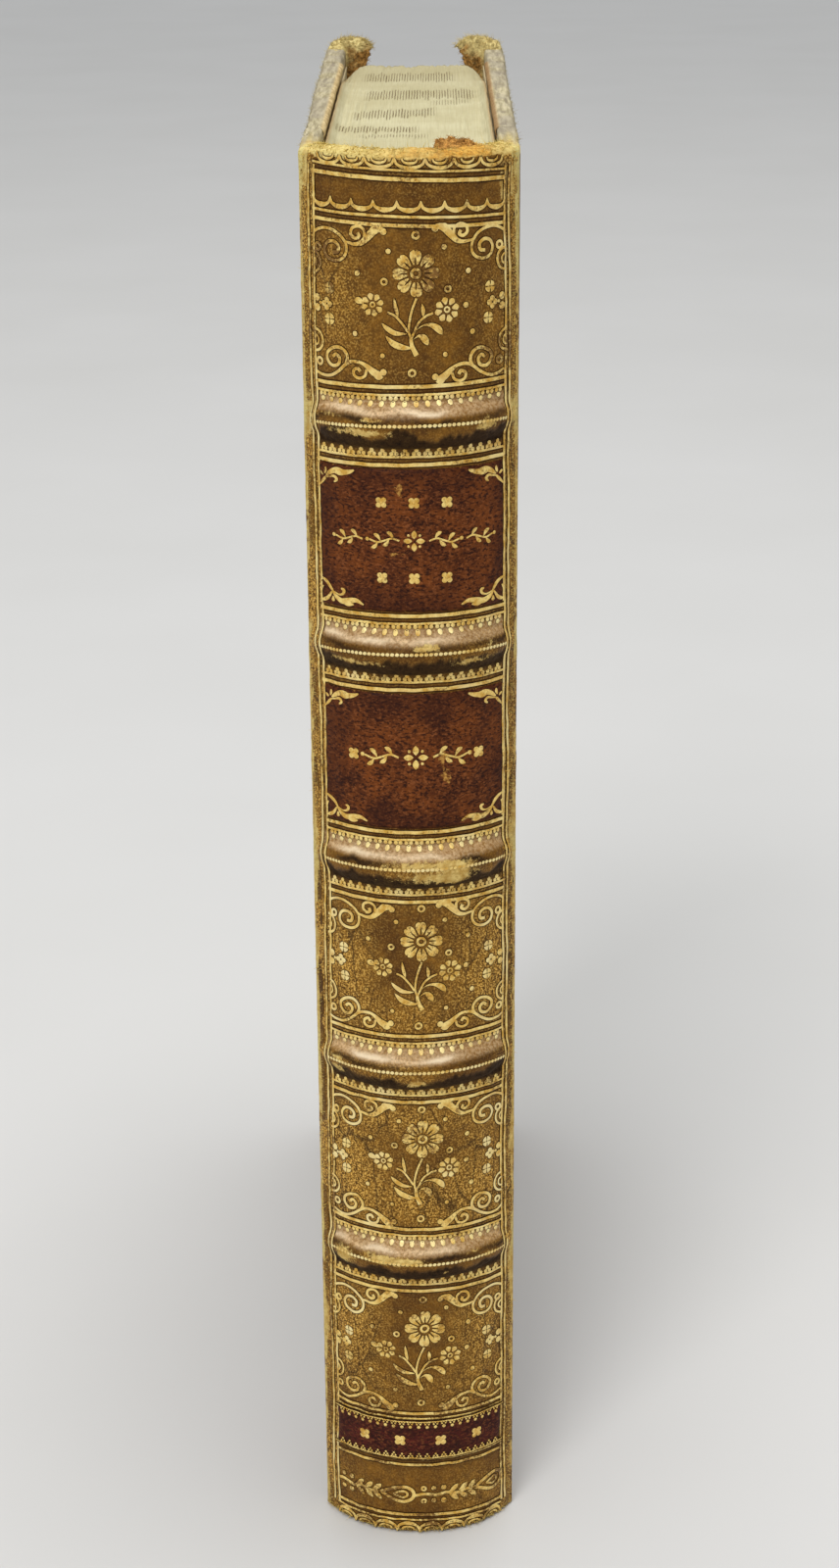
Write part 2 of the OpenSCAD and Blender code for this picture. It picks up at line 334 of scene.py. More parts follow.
def label_leather(name, light, dark):
    """Straight-grained goatskin in light and dark patches, scuffed to tan in a few spots."""
    paint = Paint(name, specular=0.12)
    hue = paint.noise(3.4, 4, 0.65)
    speck = paint.noise(0.34, 3, 0.7, stretch=(0.75, 0.75, 1.1))
    grain = paint.noise(0.26, 2, 0.6, stretch=(0.5, 0.5, 1.0))
    color = paint.mix(paint.span(hue, 0.4, 0.62), dark, light)
    color = paint.mix(paint.span(speck, 0.5, 0.62, 0.0, 0.55), color, (156, 92, 50))
    color = paint.mix(paint.span(grain, 0.5, 0.38, 0.0, 0.85), color, (34, 11, 6))
    color = paint.mix(paint.layer("dark"), color, (46, 18, 12))
    worn = paint.span(paint.ragged("wear", paint.noise(0.6, 4, 0.7), 0.3, 0.7, 0.35), 0.5, 0.64)
    tan = paint.mix(paint.span(speck, 0.4, 0.6), (126, 78, 30), (200, 150, 74))
    color = paint.mix(worn, color, tan)
    roughness = paint.span(speck, 0.3, 0.7, 0.5, 0.68)
    return paint.finish(color, roughness, paint.bump(grain, 0.1, 0.9, paint.bump(speck, 0.05, 0.6)))


def gold_leaf():
    """Tooled gold leaf, broken up where it has rubbed off, and painted pale and light as a glint where its
    layer goes below zero.
    """
    paint = Paint("gold leaf", metallic=0.2, roughness=0.4, specular=0.3)
    tone = paint.noise(1.0, 4, 0.65)
    break_up = paint.noise(0.34, 3, 0.7)
    rub_and_glint = paint.layer("rub_and_glint")
    color = paint.mix(paint.span(tone, 0.38, 0.62), (214, 165, 68), (252, 221, 134))
    gone = paint.span(paint.plus(break_up, paint.times(rub_and_glint, 0.3)), 0.58, 0.76)
    color = paint.mix(gone, color, (126, 88, 34))
    # Painted glint: where the layer goes below zero the gold is painted pale and light.
    color = paint.mix(paint.span(rub_and_glint, -0.6, 0.0, 0.75, 0.0), color, (255, 236, 172))
    metal = paint.span(gone, 0.0, 1.0, 0.2, 0.0)
    roughness = paint.span(break_up, 0.3, 0.7, 0.32, 0.52)
    return paint.finish(color, roughness, paint.bump(break_up, 0.03, 0.5), metal)


def pressed_and_shaded_leather():
    """Leather darkened along the tooling: painted shade of the impressions, and leather scorched where a hot
    tool pressed it.
    """
    paint = Paint("pressed and shaded leather", roughness=0.7, specular=0.1)
    tone = paint.noise(1.0, 3, 0.6)
    color = paint.mix(paint.span(tone, 0.35, 0.65), (42, 23, 4), (80, 49, 13))
    return paint.finish(color, normal=paint.bump(tone, 0.03, 0.5))


def suede(name, light, dark, deep_light, deep_dark):
    """Fibrous inside of the leather: light and dark where it has dried out, the deep pair where torn deep."""
    paint = Paint(name, roughness=0.9, specular=0.1)
    tuft = paint.noise(0.5, 5, 0.75)
    pale = paint.mix(paint.span(tuft, 0.36, 0.6), dark, light)
    deep = paint.mix(paint.span(tuft, 0.38, 0.58), deep_dark, deep_light)
    raw = paint.ragged("raw", paint.noise(1.8, 3, 0.6), 0.3, 0.7, 0.3)
    color = paint.mix(paint.span(raw, 0.3, 0.7), pale, deep)
    return paint.finish(color, normal=paint.bump(tuft, 0.3, 0.9))


def leaf_edges():
    """Cut edges of aged leaves, with rows of brown marks along the gatherings."""
    paint = Paint("leaf edges", roughness=0.85, specular=0.12)
    leaves = paint.noise(0.15, 2, 0.6, stretch=(1, 0.012, 0.012))
    fine = paint.noise(0.5, 3, 0.7)
    color = paint.mix(paint.span(paint.noise(9, 3, 0.6), 0.3, 0.7), (190, 181, 142), (206, 199, 162))
    color = paint.mix(paint.span(leaves, 0.35, 0.65, 0.28, 0.0), color, (160, 146, 106))
    color = paint.mix(paint.span(fine, 0.5, 0.75, 0.0, 0.3), color, (176, 164, 122))
    color = paint.mix(paint.layer("far"), color, (150, 136, 98))
    feed = {"Vector": paint.place, "Scale": 860.0, "Distortion": 1.6, "Detail": 1.0, "Detail Scale": 1.2}
    rows = paint.node("TexWave", out="Fac", bands_direction="X", feed=feed)
    strokes = paint.times(paint.span(rows, 0.5, 0.8), paint.span(leaves, 0.3, 0.62, 0.35, 1.0))
    color = paint.mix(paint.times(strokes, paint.layer("stain")), color, (88, 66, 28))
    color = paint.mix(paint.layer("edge"), color, (166, 126, 70))
    return paint.finish(color, normal=paint.bump(leaves, 0.12, 0.6, paint.bump(fine, 0.03, 0.4)))


def marbled_paper():
    """Marbled side paper: round drops over a net of veins, in dull red, blue-grey and cream.

    It is worn to grey fibre at its edges and glue-stained inside; that glue strip is painted pale, partly as
    painted light for the narrow shaded gap it lies in, and darker on the front cover as painted shade.
    """
    paint = Paint("marbled paper", roughness=0.62, specular=0.25)
    warp = paint.place
    for size, push in ((13, 0.012), (3.4, 0.0034)):
        drift = paint.noise(size, 1, 0.5, out="Color")
        drift = paint.node("VectorMath", feed={0: drift, 1: (push, push, push)}, operation="MULTIPLY")
        warp = paint.node("VectorMath", feed={0: warp, 1: drift}, operation="ADD")

    def tint(size):
        return paint.node("SeparateColor", feed={"Color": paint.cells(size, out="Color", place=warp)})

    ground = tint(4.6)
    color = paint.mix(paint.span(ground, 0.45, 0.5), (92, 40, 36), (62, 70, 84))
    color = paint.mix(paint.span(ground, 0.78, 0.82), color, (146, 116, 66))
    veins = paint.cells(4.6, "DISTANCE_TO_EDGE", place=warp)
    color = paint.mix(paint.span(veins, 0.0, 0.09, 1.0, 0.0), color, (178, 162, 128))
    for size, red, blue in ((5.2, (104, 46, 38), (74, 82, 96)), (3.1, (84, 36, 34), (58, 64, 80))):
        drop = tint(size)
        away = paint.plus(paint.cells(size, place=warp), paint.times(drop, 0.45))
        color = paint.mix(paint.span(away, 0.47, 0.52, 1.0, 0.0), color, (172, 152, 112))
        body = paint.mix(paint.span(drop, 0.3, 0.33), red, blue)
        color = paint.mix(paint.span(away, 0.42, 0.45, 1.0, 0.0), color, body)
    color = paint.mix(paint.span(paint.noise(16, 3, 0.6), 0.35, 0.7, 0.0, 0.3), color, (70, 54, 48))
    worn = paint.span(paint.ragged("wear", paint.noise(1.2, 5, 0.7), 0.3, 0.7, 0.3), 0.4, 0.56)
    color = paint.mix(worn, color, bare_fibre(paint))
    fibre = paint.noise(0.8, 5, 0.75)
    # Glue strip painted pale, partly as painted light for the narrow shaded gap it lies in; the dark layer
    # paints it darker on the front cover as painted shade.
    glue = paint.mix(paint.span(fibre, 0.38, 0.62), (168, 138, 88), (230, 206, 152))
    glue = paint.mix(paint.layer("dark"), glue, (126, 84, 42))
    color = paint.mix(paint.layer("glue"), color, glue)
    return paint.finish(color, paint.span(worn, 0, 1, 0.5, 0.85), paint.bump(fibre, 0.15, 0.7))


def plain_paper(name, light, dark):
    """Aged plain paper with brown spots."""
    paint = Paint(name, roughness=0.8, specular=0.2)
    color = paint.mix(paint.span(paint.noise(12, 4, 0.65), 0.3, 0.7), light, dark)
    color = paint.mix(paint.span(paint.noise(1.4, 3, 0.6), 0.66, 0.74, 0.0, 0.5), color, (160, 122, 74))
    return paint.finish(color, normal=paint.bump(paint.noise(0.35, 4, 0.7), 0.02, 0.5))


def fibrous(name, light, dark, size, depth):
    """Cord, board or lining: a fibrous matt surface."""
    paint = Paint(name, roughness=0.85, specular=0.2)
    tone = paint.noise(size, 4, 0.7)
    color = paint.mix(paint.span(tone, 0.3, 0.7), light, dark)
    return paint.finish(color, normal=paint.bump(tone, depth, 0.8))


CALF = calf_leather()
LABEL = label_leather("label leather", (118, 61, 20), (80, 38, 14))
SMALL_LABEL = label_leather("small label leather", (96, 34, 24), (60, 20, 15))
GOLD = gold_leaf()
PRESSED_AND_SHADED = pressed_and_shaded_leather()
SUEDE = suede("torn head", (244, 221, 132), (212, 176, 80), (228, 158, 60), (156, 94, 24))
TORN = suede("torn turn-in", (226, 182, 100), (176, 126, 58), (218, 160, 84), (134, 92, 42))
FRAYED = suede("frayed corners", (234, 216, 150), (186, 160, 98), (170, 126, 64), (86, 58, 24))
PAPER_FIBRE = fibrous("paper fibre", (204, 194, 162), (158, 146, 114), 0.6, 0.05)
LEAVES = leaf_edges()
MARBLED = marbled_paper()
PASTEDOWN = plain_paper("endpaper", (218, 204, 168), (196, 178, 134))
LINING = fibrous("lining paper", (176, 152, 112), (140, 112, 74), 1.2, 0.05)
CORD = fibrous("hemp cord", (190, 164, 116), (132, 104, 62), 0.5, 0.15)
BOARD = fibrous("millboard", (150, 128, 96), (108, 88, 62), 0.8, 0.08)


def make_mesh(name, points, faces, material, slot, layers):
    """Smooth mesh object from points in millimetres, with named numbers on its points."""
    mesh = bpy.data.meshes.new(name)
    mesh.from_pydata((np.asarray(points) * MM).tolist(), [], faces)
    mesh.validate()
    for key, values in layers.items():
        layer = mesh.attributes.new(key, "FLOAT", "POINT")
        layer.data.foreach_set("value", np.asarray(values, np.float32).ravel())
    mesh.materials.append(material)
    mesh.polygons.foreach_set("use_smooth", [True] * len(mesh.polygons))
    piece = bpy.data.objects.new(name, mesh)
    bpy.context.scene.collection.objects.link(piece)
    return piece


def quads(index, flip=False):
    """Faces between the neighbours in a grid of point numbers."""
    a, b, c, d = index[:-1, :-1], index[:-1, 1:], index[1:, 1:], index[1:, :-1]
    return np.stack([a, d, c, b] if flip else [a, b, c, d], -1).reshape(-1, 4).tolist()


def shell(name, outer, inner, material, slot, layers):
    """Closed sheet between two grids of the same size. layers are given for the outer grid and repeated."""
    rows, columns = outer.shape[:2]
    count = rows * columns
    index = np.arange(count).reshape(rows, columns)
    faces = quads(index) + quads(index + count, flip=True)
    rim = np.concatenate([index[0, :], index[1:, -1], index[-1, -2::-1], index[-2:0:-1, 0]])
    following = np.roll(rim, -1)
    faces += stack(rim, rim + count, following + count, following).tolist()
    points = np.concatenate([outer.reshape(-1, 3), inner.reshape(-1, 3)])
    doubled = {key: np.concatenate([np.ravel(value)] * 2) for key, value in layers.items()}
    return make_mesh(name, points, faces, material, slot, doubled)


def blobs(u, z, spots):
    """Soft spots (u, z, half width, half height, strength) added up, at most 1."""
    total = np.zeros(np.broadcast(u, z).shape)
    for at_u, at_z, wide, high, strength in spots:
        total += strength * np.exp(-(((u - at_u) / wide) ** 2 + ((z - at_z) / high) ** 2))
    return np.clip(total, 0, 1)


# Rubbed patches on the spine: arc length, height, half width, half height, strength
RUBBED = [
    (-5.3, 145.75, 4.4, 0.5, 0.8), (-9.5, 147.3, 2.0, 0.4, 0.5), (-4.0, 147.2, 1.8, 0.35, 0.55),
    (8.4, 146.2, 1.5, 0.8, 0.75), (-13.2, 146.5, 1.5, 2.4, 1.0), (13.4, 146.8, 1.1, 2.2, 0.9),
    (1.6, 120.9, 1.9, 0.5, 0.8), (-6.5, 118.9, 4.0, 0.45, 0.6), (6.5, 119.0, 3.2, 0.6, 0.6),
    (9.0, 120.4, 1.6, 0.5, 0.5), (0.2, 94.2, 5.0, 0.7, 0.62), (4.6, 93.9, 2.4, 0.9, 0.55),
    (1.5, 92.6, 5.0, 0.8, 0.6), (4.6, 92.3, 2.4, 0.9, 0.55), (-9.8, 67.4, 1.6, 0.5, 0.7),
    (-9.8, 66.0, 1.5, 0.6, 0.75), (0.1, 65.8, 1.5, 0.6, 0.75), (-4.0, 41.2, 2.8, 0.8, 0.8),
    (-0.5, 41.2, 1.6, 0.4, 0.7), (-9.4, 40.2, 1.7, 1.3, 0.9), (6.5, 41.6, 1.5, 0.5, 0.6),
    (9.0, 40.5, 0.8, 0.5, 0.6), (3.2, 39.3, 0.7, 0.4, 0.5), (12.4, 173.0, 1.4, 3.0, 0.55),
    (11.6, 171.2, 0.6, 2.6, 0.5), (-12.6, 172.5, 1.2, 3.5, 0.5), (-10.5, 82.5, 2.0, 4.0, 0.3),
    (-11.5, 88.5, 1.5, 2.0, 0.35), (-13.4, 121.0, 0.8, 2.0, 0.5), (13.6, 94.0, 0.8, 4.5, 0.8),
    (-13.7, 93.0, 0.7, 4.0, 0.9), (13.8, 36.5, 0.8, 4.5, 0.9), (-13.9, 81.0, 0.6, 3.0, 0.6),
    (-13.6, 29.0, 0.7, 3.5, 0.8), (13.7, 54.0, 0.6, 2.5, 0.6), (-13.8, 62.0, 0.6, 3.0, 0.6),
]

# Panels where the leather has faded: arc length, height, half width, half height, strength
FADED = [
    (-9.5, 160.5, 4.0, 6.0, 0.2), (9.0, 160.0, 3.5, 7.0, 0.15), (0.5, 152.0, 6.0, 2.5, 0.2),
    (-9.0, 80.0, 4.5, 9.0, 0.85), (9.5, 79.0, 4.5, 9.0, 0.8), (-1.0, 74.0, 7.0, 3.5, 0.5),
    (-9.5, 54.0, 4.5, 9.0, 0.85), (9.5, 53.0, 4.5, 9.0, 0.85), (0.0, 49.0, 8.0, 3.5, 0.6),
    (0.0, 60.0, 8.0, 2.0, 0.5), (-9.5, 29.5, 4.5, 8.0, 0.6), (9.0, 28.0, 4.5, 8.0, 0.6),
    (0.0, 22.0, 8.0, 3.0, 0.4),
]


# Places of the tooled lines over and under each band's middle, and near head and tail
LINE_NEAR = 3.5
LINE_FAR = 4.42
HEAD_LINES = (174.25, 173.3, 169.3, 168.35)
TAIL_LINES = (17.9, 17.15, 11.1, 10.2, 2.55, 1.75)


def line_heights():
    """Heights of all the tooled lines that run across the spine."""
    heights = list(HEAD_LINES) + list(TAIL_LINES)
    for middle in BAND_Z:
        heights += [middle + side * offset for side in (-1, 1) for offset in (LINE_NEAR, LINE_FAR)]
    return heights


def spine_rows():
    """Rows of the skin from tail to head: inset and height of its outer face, then of its inner face."""
    pitch, band_pitch, least_pitch, beside_band = 0.6, 0.24, 0.07, 5.2
    rows = list(np.arange(0.75, HEIGHT - 1.1, pitch))
    for middle in BAND_Z:
        rows += list(np.arange(middle - beside_band, middle + beside_band, band_pitch))
    rows += [CAP_DEPTH, CAP_DEPTH + 0.08, HEIGHT - CAP_DEPTH - 0.08, HEIGHT - CAP_DEPTH]
    body = []
    for z in sorted(rows):
        if not body or z - body[-1] > least_pitch:
            body.append(z)
    outer = TAIL_EDGE + [(0.0, z) for z in body] + [(inset, HEIGHT + rise) for inset, rise in HEAD_EDGE]
    inner = [(CAP, 0.04 + 0.1 * k) for k in range(len(TAIL_EDGE))]
    inner += [(CAP if z <= CAP_DEPTH or z >= HEIGHT - CAP_DEPTH else LEATHER, z) for z in body]
    inner += [(CAP, HEIGHT - 1.0 + 0.11 * k) for k in range(len(HEAD_EDGE))]
    return np.array(outer), np.array(inner)


def band_shading(u, z, from_joint):
    """Painted shade under each raised band, a darker line along its crest, and gloss with a painted sheen and
    a painted highlight streak on its upper slope.
    """
    flat_middle = step(from_joint, 1.4, 2.6)
    dark, polish_and_painted_sheen, pale = 0, 0, 0
    for middle in BAND_Z:
        over = z - middle
        patchy = 0.3 * DIMPLE(u * 0.5, middle) + 0.15 * PORE(u, middle)
        # Painted shade under the band's lower side, with ragged edges.
        shade_under_band = step(-over + patchy, 0.35, 1.0) * step(over, -3.1, -2.3)
        crest_line = 0.75 * np.exp(-((over - 0.75 - 0.5 * patchy) / 0.34) ** 2)
        crest_line = crest_line * (0.8 + 0.5 * DIMPLE(u * 0.3, middle + 9))
        dark = dark + (shade_under_band + np.clip(crest_line, 0, 1)) * flat_middle
        # Painted highlight streak along the upper slope, strongest left of the middle, and a painted sheen
        # over the whole upper slope.
        streak = np.exp(-((over - 1.75 - 0.3 * patchy) / 0.3) ** 2) * step(-np.abs(u + 3.5), -9.5, -6)
        gloss_and_sheen = (0.55 + 0.35 * streak) * step(over, 0.9, 1.6) * step(-over, -3.3, -2.6)
        polish_and_painted_sheen = polish_and_painted_sheen + gloss_and_sheen * flat_middle
        # The painted highlight streak, carried in the pale layer.
        pale = pale + 0.75 * streak * (0.75 + 0.5 * DIMPLE(u * 0.4, middle + 3))
    return dark, polish_and_painted_sheen, pale


HEAD_WEAR = Waves(11, 5.5)
SKIN_COLUMNS = 99


def spine_layers(u, z, at_head):
    """Wear, colour and gloss of the spine's leather at arc length u and height z, with the bands' painted
    shade, sheen and highlight, and darker leather along the tooled lines.
    """
    from_joint = HALF_ARC - np.abs(u)
    near_joint = step(-from_joint, -0.75, 0.0)
    at_band = sum(np.exp(-((z - middle) / 2.0) ** 2) for middle in BAND_Z)
    dark, polish_and_painted_sheen, pale = band_shading(u, z, from_joint)
    fuzz = step(z + 0.12 * HEAD_WEAR(u * 1.5, 3), HEIGHT - 0.75, HEIGHT - 0.5) * at_head
    worn_joint = 0.42 + 0.12 * step(z, 160, 174) + 0.5 * at_band
    wear = blobs(u, z, RUBBED) + near_joint * worn_joint * (0.8 + 0.45 * SWELL(u * 3, z * 2.2))
    wear = wear + 1.2 * fuzz + 0.5 * step(-z, -1.2, 0)
    raw = fuzz * (0.5 * step(u, -7.0, 2.0) + 0.3 * step(u, 2.0, 6.0) - 0.6 * step(u, 9.0, 11.0))
    pale = pale + fuzz * (0.1 + 0.6 * step(-u, -2.0, 9.0) + 0.4 * step(u, 10.0, 13.0))
    pale = pale + near_joint * (0.3 * step(z, 168, 174) + 0.6 * at_band)
    lined = sum(np.exp(-((z - line) / 0.42) ** 2) for line in line_heights())
    # Darker along the tooled lines that run across the spine: partly painted shade of their impressions,
    # partly patina.
    dark = dark + 0.4 * lined * (np.abs(u) < HALF_ARC - 2)
    fade = blobs(u, z, FADED) + 0.8 * step(-from_joint, -2.9, -2.0) + 0.12 * SWELL(u, z)
    held = {"dark": dark, "polish_and_painted_sheen": polish_and_painted_sheen, "pale": pale, "fade": fade}
    return {"wear": wear, "raw": raw, **{key: np.clip(value, 0, 1) for key, value in held.items()}}


def spine_skin():
    """The covering leather of the spine, folded over at both ends."""
    outer_rows, inner_rows = spine_rows()
    u = np.linspace(-HALF_ARC, HALF_ARC, SKIN_COLUMNS)[None, :]
    inset, z = outer_rows[:, :1], outer_rows[:, 1:]
    at_head = z > HEIGHT / 2
    ridge = step(inset, 0.05, 1.0) * at_head
    thin_ends = 0.3 * step(np.abs(u) - HALF_ARC, -1.2, 0)
    ragged = ridge * (0.06 * HEAD_WEAR(u, 0) + 0.03 * DIMPLE(u * 1.4, 5) - thin_ends)
    outer = spine_point(u, z, -inset)
    inner = spine_point(u, inner_rows[:, 1:], -inner_rows[:, :1])
    outer[..., 2] += ragged
    inner[..., 2] += ragged
    skin = shell("spine_skin", outer, inner, CALF, "leather", spine_layers(u, z, at_head))
    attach(skin, ROOT)
    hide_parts("spine_leather")


# Scuffed spots of the labels: arc length, height, half width, half height, strength
SCUFFS = {
    "title_label": [
        (-1.3, 139.1, 0.6, 1.0, 0.9), (-1.8, 131.6, 1.3, 0.3, 0.75), (-6.0, 129.0, 0.7, 0.25, 0.7),
    ],
    "author_label": [
        (3.3, 107.0, 0.5, 1.4, 0.8), (3.9, 104.6, 0.6, 0.9, 0.85), (6.2, 98.9, 0.8, 0.4, 0.6),
    ],
    "date_label": [(-10.5, 13.0, 0.6, 0.6, 0.5)],
}
NICKS = Waves(21, 2.6)


def drawn_in(u, z):
    """Arc length of tooled work whose left side stands a little nearer the middle, halfway up the spine."""
    return np.where(u < 0, u * (1 - 0.03 * np.exp(-((z - 86) / 45) ** 2)), u)


def label_skin(node):
    """A pared leather label, thin at its edges, pasted on the spine."""
    low, high = box_mm(node)
    edge = RADIUS * math.asin(high[0] / (RADIUS + LABEL_RISE))
    rows = np.linspace(low[2], high[2], max(12, int((high[2] - low[2]) / 0.35)))
    across, z = np.meshgrid(np.linspace(-edge, edge, 72), rows)
    u = across + 0.08 * NICKS(across, z) * (np.abs(across) / edge) ** 6
    to_edge = np.minimum(np.minimum(z - low[2], high[2] - z), edge - np.abs(across))
    lift = LABEL_RISE * (0.25 + 0.75 * step(to_edge, -0.05, 0.5))
    outer = spine_point(drawn_in(u, z), z, lift)
    inner = spine_point(drawn_in(u, z), z, -0.05)
    wear = blobs(u, z, SCUFFS[node]) + 0.4 * step(-to_edge, -0.35, 0)
    dark = 0.5 * step(-to_edge + 0.8 * NICKS(u * 0.4, z * 0.4), -4.5, 0.0)
    material = SMALL_LABEL if node == "date_label" else LABEL
    skin = shell(f"{node}_skin", outer, inner, material, "label", {"wear": wear, "dark": dark})
    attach(skin, ROOT)
    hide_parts(node)


class Tooling:
    """Thin gilt shapes in unrolled spine coordinates, with a wider dark bed under each: painted shade of the
    impression, and leather scorched by the hot tool.

    Both are lists of points, of their heights and of faces. The gilt lies GILT_BASE over the bed.
    """

    GILT_BASE = 0.02
    CROWN = 0.05

    def __init__(self):
        self.gilt = ([], [], [])
        self.bed = ([], [], [])

    def _add(self, sheet, points, lifts, faces):
        start = len(sheet[0])
        sheet[0].extend(np.asarray(points, float).tolist())
        sheet[1].extend(np.asarray(lifts, float).tolist())
        sheet[2].extend([tuple(start + i for i in face) for face in faces])

    def _ribbon(self, sheet, path, half, crown, base):
        ahead = np.gradient(path, axis=0)
        ahead /= np.maximum(np.linalg.norm(ahead, axis=1, keepdims=True), 1e-9)
        across = stack(-ahead[:, 1], ahead[:, 0]) * half[:, None]
        count = len(path)
        points = np.concatenate([path - across, path, path + across])
        lifts = np.repeat([0.0, crown, 0.0], count) + base
        self._add(sheet, points, lifts, quads(np.arange(3 * count).reshape(3, count).T))

    def stroke(self, path, width, halo=0.11):
        """Line along the path. width is one number or one for each point."""
        path = np.asarray(path, float)
        half = np.broadcast_to(np.asarray(width, float) / 2, len(path))
        self._ribbon(self.gilt, path, half, self.CROWN, self.GILT_BASE)
        if halo:
            self._ribbon(self.bed, path, half + halo, 0.0, 0.0)

    def disc(self, centre, radius, inner=0.0, halo=0.1, sides=12, start=0.0, sweep=2 * math.pi):
        """Disc or ring, or a part of one."""
        turn = start + np.linspace(0, sweep, sides + 1)
        ring = stack(np.cos(turn), np.sin(turn))
        centre = np.asarray(centre, float)
        loops = [inner, (radius + inner) / 2, radius] if inner else [0.001, 0.6 * radius, radius]
        crowns = [0.0, self.CROWN, 0.0] if inner else [0.07, 0.055, 0.0]
        points = np.concatenate([centre + ring * r for r in loops])
        lifts = np.repeat(crowns, len(ring)) + self.GILT_BASE
        self._add(self.gilt, points, lifts, quads(np.arange(len(points)).reshape(3, -1), flip=True))
        if halo:
            loops = [radius + halo, max(inner - halo, 0.001)]
            points = np.concatenate([centre + ring * r for r in loops])
            self._add(self.bed, points, np.zeros(len(points)), quads(np.arange(len(points)).reshape(2, -1)))

    def build(self, name, rub_and_glint, lift=0.0, slot="leather"):
        """Makes the gilt piece and its bed. rub_and_glint(u, z) says how far the gold has rubbed off, and
        below zero how strong a painted glint it gets.
        """
        sheets = (("", self.gilt, GOLD, 0.03), ("_bed", self.bed, PRESSED_AND_SHADED, 0.012))
        for suffix, sheet, material, rise in sheets:
            points, lifts, faces = sheet
            if points:
                u, z = np.array(points).T
                place = spine_point(drawn_in(u, z), z, np.array(lifts) + rise + lift)
                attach(make_mesh(name + suffix, place, faces, material, slot, {"rub_and_glint": rub_and_glint(u, z)}), ROOT)


def curve(points, per=6):
    """Smooth path through the points, with per steps between two of them."""
    p = np.asarray(points, float)
    p = np.vstack([2 * p[0] - p[1], p, 2 * p[-1] - p[-2]])
    t = np.linspace(0, 1, per, endpoint=False)[:, None]
    pieces = []
    for a, b, c, d in zip(p, p[1:], p[2:], p[3:]):
        square, cube = 2 * a - 5 * b + 4 * c - d, 3 * b - a - 3 * c + d
        pieces.append(0.5 * (2 * b + (c - a) * t + square * t ** 2 + cube * t ** 3))
    return np.vstack(pieces + [p[-2:-1]])


def profile(path, places, widths):
    """Widths along a path, given at places from 0 to 1."""
    return np.interp(np.linspace(0, 1, len(path)), places, widths)


def arc(centre, radius, start, end, count):
    """Path of count points on a circle, from one angle to another."""
    angle = np.linspace(start, end, count)
    return np.asarray(centre) + radius * stack(np.cos(angle), np.sin(angle))


def toward(at, distance, angle):
    """Point at a distance from another, in the direction of an angle."""
    return at[0] + distance * math.cos(angle), at[1] + distance * math.sin(angle)


def leaf_widths(count, widest, lean=0.5):
    """Widths of a leaf along its rib, with the widest place at lean of its length."""
    t = np.linspace(0, 1, count)
    power = math.log(0.5) / math.log(lean)
    return widest * np.sin(math.pi * t ** power) ** 0.8 + 0.04


class Stamp:
    """Places a hand tool's impression: a little turned and shifted, as by hand."""

    def __init__(self, at, flip=(1, 1), turn=0.0, size=1.0):
        self.at = np.asarray(at, float)
        self.flip = np.asarray(flip, float)
        c, s = math.cos(turn), math.sin(turn)
        self.matrix = np.array([[c, s], [-s, c]]) * size

    def __call__(self, points):
        return (np.asarray(points, float) * self.flip) @ self.matrix + self.at


DAISY_RIB = [(0.95, 0.17), (1.35, 0.27), (1.8, 0.32), (2.2, 0.28), (2.52, 0.13)]


def daisy(gilt, place, petals=8):
    """Open flower: rounded petals, each with a short dark vein, round a ringed eye."""
    for k in range(petals):
        angle = 2 * math.pi * k / petals + math.pi / 2
        along = np.array([math.cos(angle), math.sin(angle)])
        across = np.array([-along[1], along[0]])
        for way in (-1, 1):
            path = curve([r * along + way * s * across for r, s in DAISY_RIB], 3)
            widths = profile(path, [0, 0.25, 0.55, 0.8, 1], [0.16, 0.36, 0.66, 0.64, 0.2])
            gilt.stroke(place(path), widths, halo=0.08)
    gilt.disc(place([[0, 0]])[0], 0.64, 0.32, halo=0.1)


def little_flower(gilt, place, radius, petals=8):
    """Small round flower: lobed petals round a ring."""
    for k in range(petals):
        angle = 2 * math.pi * (k + 0.3) / petals
        way = np.array([math.cos(angle), math.sin(angle)])
        rib = np.outer([0.42, 0.6, 0.8, 0.98], way) * radius
        gilt.stroke(place(rib), np.array([0.16, 0.42, 0.62, 0.2]) * radius * 0.85, halo=0.06)
    gilt.disc(place([[0, 0]])[0], 0.27 * radius, 0.13 * radius, sides=9, halo=0.05)


